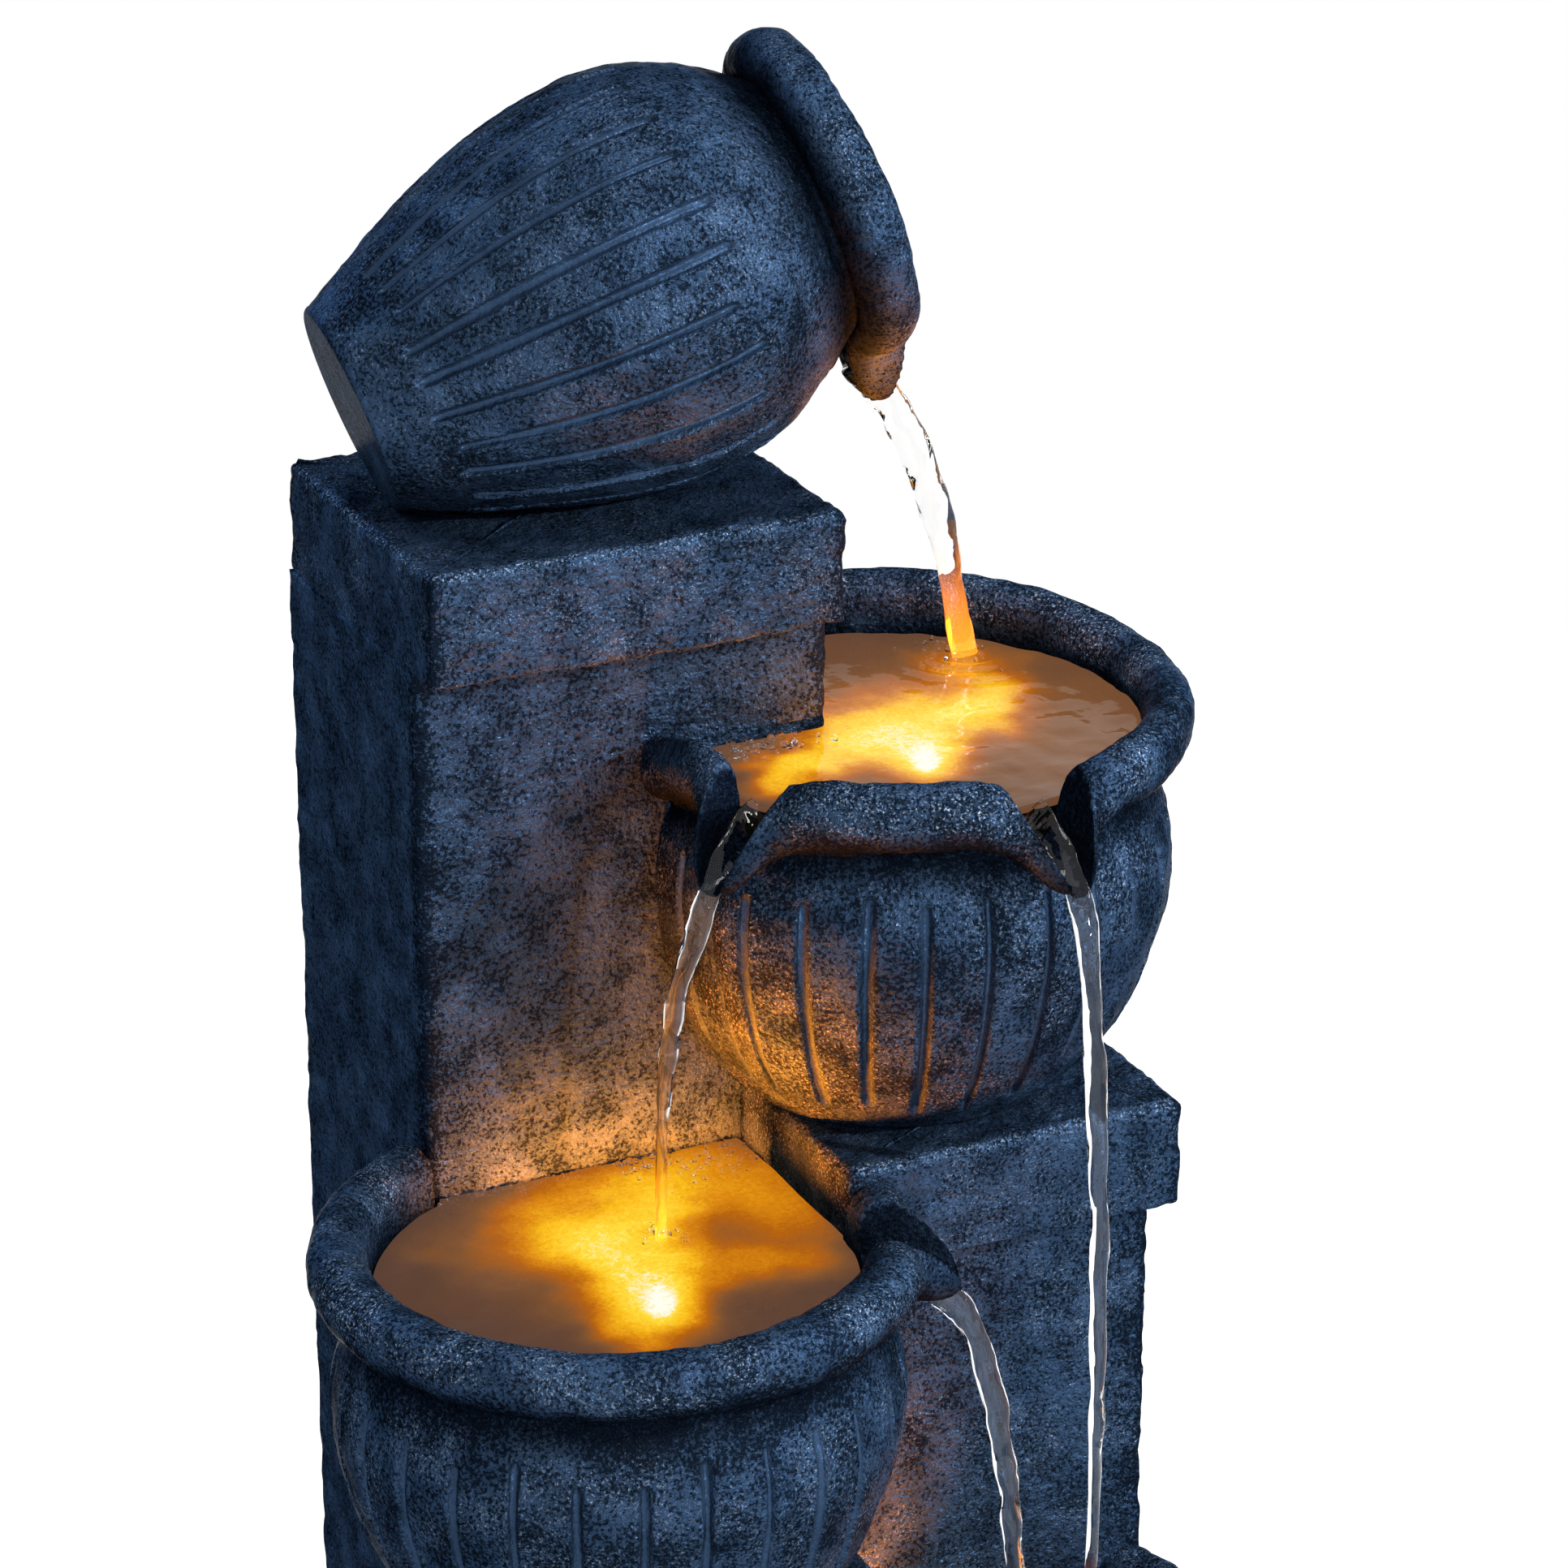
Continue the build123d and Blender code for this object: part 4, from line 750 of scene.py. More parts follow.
@dataclass
class Vessel(CastPiece):
    """A cast pot: a profile swept round an axis, with flutes, a rolled rim and beaks drawn out of it.

    A point has a radius, a bearing and a height over the rim plane; the grid has one row per profile point.
    """

    name: str
    node: str
    origin: Point
    flutes: Flutes
    beaks: tuple[Beak, ...]
    rim_radius: float = 66.0
    root_radius: float = 50.0
    roll_half: float = 7.25
    roll_half_width: float = 6.8
    roll_angles: Pair = (-108.0, 180.0)
    seed: int = 1
    water_level: float = -13.0
    # painted shade in the neck under the rolled rim: its push on the black wash, and its share of the damp
    # tone
    neck_soot: float = 0.4
    neck_damp: float = 0.9
    grime: float = 0.25
    # painted glints: their strength on the roll, and the wall's share of it
    glint: float = 0.85
    wall_glint: float = 0.6
    groove_calm: float = 0.7
    cloud_pitch: float = 9.0
    cloud_band: Pair = (-0.5, 0.6)
    relief: Layers = ((0.22, 2.3), (0.24, 6.0), (0.45, 24.0))
    shore_band: Pair = (4.0, -1.0)  # over the water level
    hold_band: Pair = (-3.6, -2.0)  # this and the next two in half heights of the roll
    neck_low: Pair = (-3.8, -2.4)
    neck_high: Pair = (-1.0, -1.9)
    bearing_samples: int = 8192
    flute_crowd: Pair = (1.3, 2.4)  # extra columns, and the half width in millimetres they gather in
    beak_crowd: Pair = (1.6, 9.0)
    columns: int = 448
    basis: Array = field(default_factory=lambda: np.eye(3))

    def profile(self) -> tuple[Array, Array]:
        """Rows of radius and height from the underside round to the inside floor, and a zone per row."""
        raise NotImplementedError

    def roll(self, count: int) -> Array:
        """Rolled rim: an ellipse that touches the rim plane, from its first angle to its last."""
        middle = (self.rim_radius - self.roll_half_width, -self.roll_half)
        return roll_arc(middle, (self.roll_half_width, self.roll_half), *self.roll_angles, count)

    def band(self, ends: Pair, level: Array) -> Array:
        """Smooth step between two heights that are given in half heights of the roll."""
        return ramp01(ends[0] * self.roll_half, ends[1] * self.roll_half, level)

    def bearings(self) -> Array:
        """Column bearings, packed closer at the flutes and at the beaks by bell-shaped weights."""
        fine = np.linspace(0.0, math.tau, self.bearing_samples, endpoint=False)
        pitch = math.tau / self.flutes.count
        offset = np.abs((fine - self.flutes.turn + pitch / 2) % pitch - pitch / 2) * self.rim_radius
        weight = 1.0 + self.flute_crowd[0] * np.exp(-((offset / self.flute_crowd[1]) ** 2))
        for beak in self.beaks:
            gap = (fine - math.radians(beak.bearing) + math.pi) % math.tau - math.pi
            weight += self.beak_crowd[0] * np.exp(-((gap * self.rim_radius / self.beak_crowd[1]) ** 2))
        total = np.concatenate([[0.0], np.cumsum(weight)])
        wanted = np.arange(self.columns) / self.columns * total[-1]
        return np.interp(wanted, total, np.append(fine, math.tau))

    def cut_flutes(self, theta: Array, radius: Array, height: Array) -> tuple[Array, Array]:
        """Depth of the flutes: a capsule's distance field round each slightly leaning centre line.

        Args:
            theta: bearings in radians.
            radius: radii in millimetres.
            height: heights in millimetres.
        Returns:
            Depth below the wall, negative on the raised burr, and a mark that is one in the groove.
        """
        cut = self.flutes
        draw = np.random.default_rng(self.seed)
        top = cut.top + draw.uniform(-cut.top_play, cut.top_play, cut.count)
        bottom = cut.bottom + draw.uniform(-cut.bottom_play, cut.bottom_play, cut.count)
        shift = draw.uniform(-cut.side_play, cut.side_play, cut.count)
        lean = draw.uniform(-cut.lean, cut.lean, cut.count)
        size = draw.uniform(*cut.size_range, cut.count)
        pitch = math.tau / cut.count
        which = np.round((theta - cut.turn) / pitch).astype(int)
        own = which % cut.count
        along = np.clip((height - bottom[own]) / (top[own] - bottom[own]), 0.0, 1.0)
        side = (theta - cut.turn - which * pitch) * radius - shift[own] - lean[own] * (along - 0.5)
        past = np.maximum(np.maximum(height - top[own], bottom[own] - height), 0.0)
        away = np.hypot(side, past) / (cut.half_width * size[own])
        groove = np.clip(1.0 - away**2, 0.0, 1.0)
        burr = np.exp(-(((away - cut.burr_place) / cut.burr_width) ** 2))
        depth = cut.depth * groove**cut.roundness - cut.burr * burr
        return depth, np.clip(groove * cut.mark_gain, 0.0, 1.0)

    def pull_beak(
        self, beak: Beak, x: Array, y: Array, h: Array, hold: Array
    ) -> tuple[Array, Array, Array, Array]:
        """Draws a beak out of the rim: the rim is stretched outwards, bent down and hollowed by a trough.

        The stretch grows with the radius, the droop with its power of one and a half, and the trough is half
        round.

        Args:
            beak: the beak.
            x: first coordinate in the rim plane.
            y: second coordinate in the rim plane.
            h: height over the rim plane.
            hold: weight from zero, where the wall stays, to one on the rim.
        Returns:
            The moved coordinates, and how much water lies on the lip: one in the trough.
        """
        cosine, sine = math.cos(math.radians(beak.bearing)), math.sin(math.radians(beak.bearing))
        out = x * cosine + y * sine
        side = y * cosine - x * sine
        front = hold * (out > 0.0)
        wide = np.abs(side)
        edge = np.sqrt(np.maximum(self.rim_radius**2 - side**2, 1.0))
        grow = (beak.reach - edge) * (1.0 - ramp01(beak.flat_half, beak.half_width, wide))
        share = np.clip((out - self.root_radius) / (edge - self.root_radius), 0.0, beak.stretch_limit)
        out = out + grow * share * front
        far = np.clip((out - self.root_radius) / (beak.reach - self.root_radius), 0.0, 1.0)
        narrow = 1.0 - ramp01(beak.droop_flat_half, beak.droop_half_width, wide)
        h = h - (beak.drop - self.roll_half) * far**beak.droop_power * narrow * front
        trough = beak.trough_root + (beak.trough_tip - beak.trough_root) * far
        middle = -beak.trough_drop - (beak.drop + beak.sink - beak.trough_drop) * far
        inside = middle - np.sqrt(np.maximum(trough**2 - side**2, 0.0))
        bed = np.where(wide < trough, inside, middle + (wide - trough) * beak.bank_slope)
        hollow = (front > beak.trough_hold) & (bed < h)
        h = np.where(hollow, bed, h)
        outer, inner = (part * beak.half_width for part in beak.drip_band)
        drip = beak.drip * front * far**2 * ramp01(outer, inner, wide)
        x = np.where(front > 0.0, out * cosine - side * sine, x)
        y = np.where(front > 0.0, out * sine + side * cosine, y)
        return x, y, h, np.maximum(hollow, drip)

    def fit(self, world: Array, zone: Array) -> Array:
        """Trims the skin where it meets its neighbours; a plain pot needs nothing."""
        return world

    def swell(self, y: Array, h: Array, zone: Array) -> Array:
        """Height of the hand-finished rim; a plain pot's stays as it is."""
        return h

    def grid(self) -> tuple[Array, Marks]:
        """Skin in world millimetres, rows by columns, and the marks that the finish reads."""
        rows, zone = self.profile()
        level = rows[:, 1:]
        shape = (len(rows), self.columns)
        theta = np.broadcast_to(self.bearings(), shape)
        outward = quarter_turn(unit(np.gradient(rows, axis=0)))
        cuts = self.cut_flutes(theta, rows[:, :1], level)
        depth, groove = (np.where(zone == Zone.wall, cut, 0.0) for cut in cuts)
        radius = rows[:, :1] - depth * outward[:, :1]
        height = level - depth * outward[:, 1:]
        x, y = radius * np.cos(theta), radius * np.sin(theta)
        hold = np.where(zone >= Zone.wall, self.band(self.hold_band, level), 0.0)
        height = self.swell(y, height, zone)
        trough = np.zeros(shape)
        for beak in self.beaks:
            x, y, height, hollow = self.pull_beak(beak, x, y, height, hold)
            trough = np.maximum(trough, hollow)
        world = np.stack([x, y, height], axis=-1) @ self.basis + np.array(self.origin)
        normal = grid_normals(world)
        calm = np.where(zone == Zone.under, 0.0, 1.0 - self.groove_calm * groove)
        half = len(rows) // 2
        facing = np.sign(np.sum(normal[half] * (world[half] - np.array(self.origin)), axis=-1).mean())
        rough = layered_noise(world, self.relief, self.seed)
        world = self.fit(world + normal * (rough * calm * facing)[..., None], zone)
        outside = (np.arange(len(rows)) < np.argmax(level))[:, None]
        # painted shade in the neck, under the rolled rim
        neck = self.band(self.neck_low, level) * self.band(self.neck_high, level) * outside
        wet = ramp01(*self.shore_band, height - self.water_level) * (zone >= Zone.inside)
        # the wet mark also carries the painted shade under the rolled rim
        wet = np.maximum(np.maximum(wet, trough), self.neck_damp * neck)
        high = np.where(zone == Zone.roll, 1.0, np.where(zone == Zone.wall, self.wall_glint, 0.0))
        cloud = lattice_noise(world, self.cloud_pitch, self.seed + len(self.relief))
        cloud = ramp01(*self.cloud_band, cloud)
        # painted glints in clouds, kept off the flutes and the wet
        brushed = self.glint * high * cloud * (1.0 - groove) * (1.0 - wet)
        # an even grime, and the painted shade under the rolled rim
        wear = np.broadcast_to(self.grime + self.neck_soot * neck, shape)
        return world, {"groove": groove, "wet": wet, "wear": wear, "brushed": brushed}


@dataclass
class Bowl(Vessel):
    """One of the three bowls: hollow foot, fluted belly, neck, thick rolled rim and a shallow floor."""

    height: float = 89.5
    depth: float = 33.0
    hollow: Pair = (51.6, -38.0)
    hollow_start: float = 6.0
    under_points: Run = ((53.5, -58.0), (46.0, -76.0))
    foot_radii: Pair = (34.0, 39.0)
    wall_points: Run = ((51.0, -76.0), (58.5, -58.0), (61.6, -36.0), (57.0, -18.5))
    shore_gap: float = 0.4
    shore_height: float = -18.5
    beach: Pair = (51.6, -28.0)
    floor_radius: float = 41.6
    floor_end: float = 3.0
    blocks: tuple[Footprint, ...] = ()
    pools: tuple[tuple[float, float, float, float], ...] = ()
    squeeze: float = 0.0
    squeeze_from: float = 30.0
    squeeze_depth: Pair = (-4.0, 12.0)
    shoulder_sink: float = 5.0
    shoulder_height: Pair = (-30.0, -12.0)
    shoulder_width: Pair = (0.0, 12.0)
    shoulder_depth: Pair = (14.0, 33.0)
    rear_lift: float = 0.0
    lift_height: Pair = (-30.0, -10.0)
    lift_depth: Pair = (0.0, 58.0)
    trim_slack: float = 0.4

    def profile(self) -> tuple[Array, Array]:
        """Rows of radius and height from the underside round to the inside floor, and a zone per row."""
        inner_foot, outer_foot = ((radius, -self.height) for radius in self.foot_radii)
        floor = (self.floor_radius, -self.depth)
        under = smooth_curve([self.hollow, *self.under_points, inner_foot], 16)
        wall = smooth_curve([outer_foot, *self.wall_points], 84)
        roll = self.roll(46)
        shore = (self.rim_radius - 2 * self.roll_half_width - self.shore_gap, self.shore_height)
        inner = smooth_curve([roll[-1], shore, self.beach, floor], 24)
        return join_runs(
            (np.linspace((self.hollow_start, self.hollow[1]), self.hollow, 6), Zone.under),
            (under, Zone.under),
            (np.linspace(inner_foot, outer_foot, 4), Zone.under),
            (wall, Zone.wall),
            (np.concatenate([wall[-1:], roll]), Zone.roll),
            (inner, Zone.inside),
            (np.linspace(floor, (self.floor_end, -self.depth), 9), Zone.inside),
        )

    def swell(self, y: Array, h: Array, zone: Array) -> Array:
        """Lifts the rear of the rim by a smooth step across the bowl, fading down the wall."""
        held = ramp01(*self.lift_height, h) * (zone >= Zone.wall)
        return h + self.rear_lift * ramp01(*self.lift_depth, y) * held

    def polar(self, world: Array) -> tuple[Array, Array]:
        """Distance in plan from the bowl's axis, and the direction."""
        shift = world[..., :2] - np.array(self.origin[:2])
        return np.linalg.norm(shift, axis=-1), unit(shift)

    def fit(self, world: Array, zone: Array) -> Array:
        """Trims the bowl at the columns and opens its rim where the pool runs on to them.

        Along its own ray from the bowl's axis, a point beyond a block's face goes back to that face and
        below the floor. In a pool corner the rim is taken down to the floor. A squeezed bowl is drawn in on
        its left, behind the beak, and its rim sinks there towards the column.

        Args:
            world: the skin in world millimetres.
            zone: column with each row's zone.
        Returns:
            The trimmed skin.
        """
        reach, ray = self.polar(world)
        floor = self.origin[2] - self.depth
        stop = np.full(reach.shape, FAR)
        for block in self.blocks:
            entry = ray_to_box(self.origin, ray, block)
            stop = np.minimum(stop, np.where(world[..., 2] > block[4], entry, FAR))
        opened = np.zeros(reach.shape, bool)
        for corner in self.pools:
            opened |= within(world, corner)
        for chosen, limit in ((zone >= Zone.roll, floor), (zone == Zone.wall, floor - 1.0)):
            world[..., 2] = np.where(opened & chosen, np.minimum(world[..., 2], limit), world[..., 2])
        if self.squeeze:
            spare = np.maximum(self.origin[0] - self.squeeze_from - world[..., 0], 0.0)
            world[..., 0] += self.squeeze * spare * ramp01(*self.squeeze_depth, world[..., 1])
            high = ramp01(*self.shoulder_height, world[..., 2] - self.origin[2])
            high = high * ramp01(*self.shoulder_width, spare)
            world[..., 2] -= self.shoulder_sink * high * ramp01(*self.shoulder_depth, world[..., 1])
            reach, ray = self.polar(world)
        beyond = reach > stop
        flat = np.array(self.origin[:2]) + ray * np.minimum(reach, stop)[..., None]
        low = np.minimum(world[..., 2], np.where(reach > stop + self.trim_slack, floor, world[..., 2]))
        world[..., :2] = np.where(beyond[..., None], flat, world[..., :2])
        world[..., 2] = np.where(beyond, low, world[..., 2])
        return world


@dataclass
class Jar(Vessel):
    """The tilted jar that lies on the tall column's cap and pours from its mouth."""

    rim_radius: float = 37.3
    root_radius: float = 25.8
    roll_half: float = 7.0
    roll_half_width: float = 5.75
    roll_angles: Pair = (-112.0, 176.0)
    length: float = 119.5
    base_radius: float = 23.7
    base_round: float = 1.6
    wall_points: Run = ((34.0, -96.5), (44.7, -55.5), (42.2, -34.3), (30.6, -15.5))
    inner_points: Run = ((24.8, -15.5), (36.2, -34.3), (38.7, -55.5), (28.0, -96.5))
    floor: Pair = (17.7, -111.5)
    floor_end: float = 2.0
    seat: float = 363.6

    def profile(self) -> tuple[Array, Array]:
        """Rows of radius and height from the base round to the inside floor, and a zone per row."""
        base, flat = -self.length, self.base_radius - self.base_round
        wall = smooth_curve([(self.base_radius, base + self.base_round), *self.wall_points], 112)
        edge = roll_arc((flat, base + self.base_round), (self.base_round, self.base_round), -90.0, 0.0, 6)
        roll = self.roll(40)
        return join_runs(
            (np.linspace((self.floor_end, base), (flat, base), 14), Zone.under),
            (edge, Zone.under),
            (wall, Zone.wall),
            (np.concatenate([wall[-1:], roll]), Zone.roll),
            (smooth_curve([roll[-1], *self.inner_points, self.floor], 34), Zone.inside),
            (np.linspace(self.floor, (self.floor_end, self.floor[1]), 4), Zone.inside),
        )

    def fit(self, world: Array, zone: Array) -> Array:
        """Flattens the underside where the jar is seated on the cap."""
        world[..., 2] = np.maximum(world[..., 2], self.seat)
        return world


@dataclass
class CastBlock(CastPiece):
    """A cast slab or shaft: its plan carried upwards, with rounded, chipped edges and a hammered skin.

    Rows run from the middle of the underside out, up the sides and back in to the heart of the top.
    """

    name: str
    node: str
    plan: tuple[Pair, ...]
    bottom: float
    top: float
    heart: Pair
    corner_round: float = 2.2
    bottom_round: float = 0.6
    top_round: float = 2.4
    worn_corner: float = 3.2
    # band along the top rim, chipped and given a painted highlight line
    worn_rim: float = 1.5
    # painted glints in clouds over the skin
    glint: float = 0.35
    cloud_pitch: float = 9.0
    cloud_band: Pair = (-0.4, 0.7)
    calm_band: Pair = (2.0, 9.0)
    relief: Layers = ((0.3, 2.3), (0.2, 5.5), (0.35, 28.0))
    chip: Pair = (0.9, 0.1)
    step: float = 1.25
    top_stretch: float = 1.3
    heart_share: float = 0.03
    under_every: int = 6
    seed: int = 81

    def outline(self) -> Array:
        """Plan with each corner rounded by a quadratic curve, sampled at about the step."""
        corners = np.array(self.plan)
        neighbours = zip(np.roll(corners, 1, 0), corners, np.roll(corners, -1, 0))
        curves = [bend(*three, self.corner_round) for three in neighbours]
        runs = []
        for curve, following in zip(curves, curves[1:] + curves[:1]):
            runs += [curve, straight(curve[-1], following[0], self.step)[1:]]
        return np.concatenate(runs)

    def side_rows(self) -> Array:
        """Inset and height of each row up the side: a quarter round, an upright and a quarter round."""
        quarter = np.radians(np.linspace(0.0, 90.0, BEND_POINTS))
        low, high = self.bottom_round, self.top_round
        count = max(int((self.top - self.bottom - low - high) / self.step), 2)
        upright = np.linspace(self.bottom + low, self.top - high, count + 1)[1:-1]
        inset = [low * (1 - np.sin(quarter)), np.zeros(count - 1), high * (1 - np.cos(quarter))]
        foot, head = self.bottom + low * (1 - np.cos(quarter)), self.top - high * (1 - np.sin(quarter))
        return np.stack([np.concatenate(inset), np.concatenate([foot, upright, head])], axis=1)

    def grid(self) -> tuple[Array, Marks]:
        """Skin in world millimetres, rows by columns, and the marks that the finish reads."""
        edge = self.outline()
        rows = self.side_rows()
        inward = unit(-quarter_turn(np.roll(edge, -1, axis=0) - np.roll(edge, 1, axis=0)))
        level = np.broadcast_to(rows[:, 1:, None], (len(rows), len(edge), 1))
        side = np.concatenate([edge[None] + inward[None] * rows[:, :1, None], level], axis=-1)
        heart = np.array(self.heart)
        wide = np.linalg.norm(side[0, :, :2] - heart, axis=-1).max()
        count = max(int(wide / (self.top_stretch * self.step)), 4)
        shrink = np.linspace(1.0, self.heart_share, count)[1:, None, None]
        middle, flat, up = np.array([*self.heart, 0.0]), np.array([1, 1, 0]), np.array([0, 0, 1])
        top = (side[-1:] - middle) * flat * shrink + middle + up * self.top
        under = (side[:1] - middle) * flat * shrink[:: -self.under_every] + middle + up * self.bottom
        grid = np.concatenate([under, side, top])
        corner = np.linalg.norm(grid[:, :, None, :2] - np.array(self.plan), axis=-1).min(axis=-1)
        away = np.linalg.norm(grid[..., :2] - heart, axis=-1)
        inset = np.linalg.norm(edge - heart, axis=-1)[None] - away
        rim = np.hypot(self.top - grid[..., 2], np.maximum(inset, 0.0))
        wear = np.exp(-((corner / self.worn_corner) ** 2))
        # band along the top rim: it weights the chips, and is a painted highlight line
        brushed = np.exp(-((rim / self.worn_rim) ** 2))
        relief = hammered(grid, self.relief, np.maximum(wear, brushed), self.chip, self.seed)
        calm = ramp01(*self.calm_band, away)  # no relief at the heart, where the rows crowd together
        cloud = ramp01(*self.cloud_band, lattice_noise(grid, self.cloud_pitch, self.seed + 4))
        normal = grid_normals(grid)
        facing = np.sign(np.sum(normal * (grid - grid.reshape(-1, 3).mean(axis=0)), axis=-1).mean())
        moved = grid + normal * (relief * calm * facing)[..., None]
        # the glint mark: the painted highlight along the top rim, and painted glints in clouds
        return moved, {"wear": wear, "brushed": np.maximum(brushed, self.glint * cloud)}


@dataclass
class ColumnSkin(CastPiece):
    """Hammered face of the tall column: a thin shell round its front and sides, just proud of the cast wall.

    Each row runs along the outer face and back along the inner one; strips close the top and the bottom.
    """

    name: str = "tall_column_skin"
    node: str = ""
    left: float = -66.0
    right: float = 29.4
    front: float = 33.5
    back: float = 105.0
    bottom: float = 25.2
    top: float = 337.9
    corner_round: float = 2.2
    worn_corner: float = 3.0
    proud: float = 0.75
    least_proud: float = 0.12
    sunk: float = 1.4
    relief: Layers = ((0.3, 2.3), (0.22, 5.5), (0.2, 30.0))
    chip: Pair = (0.6, 0.0)
    step: float = 1.35
    seed: int = 91

    def path(self) -> tuple[Array, Array]:
        """Open plan path from the rear left round the front to the rear right, and its outward normals."""
        sides = np.array([self.left, self.left, self.right, self.right])
        start, *corners, end = np.stack([sides, [self.back, self.front, self.front, self.back]], axis=1)
        runs = []
        for here, after in zip(corners, [corners[1], end]):
            curve = bend(start, here, after, self.corner_round)
            runs += [straight(start, curve[0], self.step), curve[:-1]]
            start = curve[-1]
        points = np.concatenate([*runs, straight(start, end, self.step), [end]])
        return points, unit(quarter_turn(np.gradient(points, axis=0)))

    def mesh(self) -> bpy.types.Object:
        """Makes the shell: the outer face stands off by a height and its relief, the inner one is sunk."""
        points, outward = self.path()
        height = np.linspace(self.bottom, self.top, int((self.top - self.bottom) / self.step))
        shape = (len(height), len(points))
        level = np.broadcast_to(height[:, None], shape)
        outer = np.concatenate([np.broadcast_to(points, (*shape, 2)), level[..., None]], axis=-1)
        corner = np.array([(self.left, self.front), (self.right, self.front)])
        away = np.linalg.norm(points[:, None] - corner, axis=-1).min(axis=1)
        wear = np.broadcast_to(np.exp(-((away / self.worn_corner) ** 2)), shape)
        relief = hammered(outer, self.relief, wear, self.chip, self.seed)
        turned = np.concatenate([outward, np.zeros((len(points), 1))], axis=1)
        inner = outer - turned * self.sunk
        outer = outer + turned * np.maximum(self.proud + relief, self.least_proud)[..., None]
        grid = np.concatenate([outer, inner[:, ::-1]], axis=1)
        index = np.arange(grid.size // 3).reshape(grid.shape[:2])
        strips = []
        for row in (index[0], index[-1]):
            near, far = row[: len(points)], row[len(points) :][::-1]
            strips.append(np.stack([near[:-1], far[:-1], far[1:], near[1:]], axis=-1))
        faces = [grid_faces(index), strips[0], strips[1][:, [0, 3, 2, 1]]]
        mark = np.concatenate([wear, np.zeros(shape)], axis=1).reshape(-1)
        return make_mesh(self.name, grid.reshape(-1, 3), faces, {"wear": mark})


class Glow(Enum):
    """Warm light in a pool: place, half width, half depth and strength of each patch, the lamp first."""

    upper = (
        (40.7, 5.8, 3.0, 7.0, 1.0),
        (41.5, 8.0, 9.0, 16.0, 0.84),
        (42.9, 26.6, 16.0, 20.0, 0.74),
        (62.4, 28.7, 12.0, 14.0, 0.7),
        (72.3, 31.0, 8.0, 11.0, 0.5),
        (75.0, 50.0, 9.0, 13.0, 0.45),
        (30.6, 23.7, 12.0, 13.0, 0.62),
        (16.5, 13.6, 11.0, 9.0, 0.7),
        (6.6, 8.6, 8.0, 7.0, 0.5),
        (60.0, 20.0, 60.0, 60.0, 0.2),
    )
    middle = (
        (-39.9, -31.7, 3.3, 7.6, 1.0),
        (-40.5, -30.0, 12.0, 22.0, 0.84),
        (-40.5, -9.6, 13.0, 21.0, 0.66),
        (-44.0, 6.5, 15.0, 21.0, 0.66),
        (-61.0, 8.0, 14.0, 18.0, 0.2),
        (-22.0, 8.0, 12.0, 16.0, 0.58),
        (-8.0, 21.0, 27.0, 20.0, 0.5),
        (4.0, -4.0, 16.0, 18.0, 0.36),
        (-14.0, -24.0, 17.0, 11.0, 0.42),
        (-42.0, -6.0, 52.0, 52.0, 0.1),
    )
    lower = (
        (31.0, -50.0, 3.6, 8.0, 1.0),
        (32.0, -46.0, 11.0, 16.0, 0.8),
        (34.0, -34.0, 14.0, 15.0, 0.7),
        (29.0, -35.0, 50.0, 56.0, 0.24),
    )


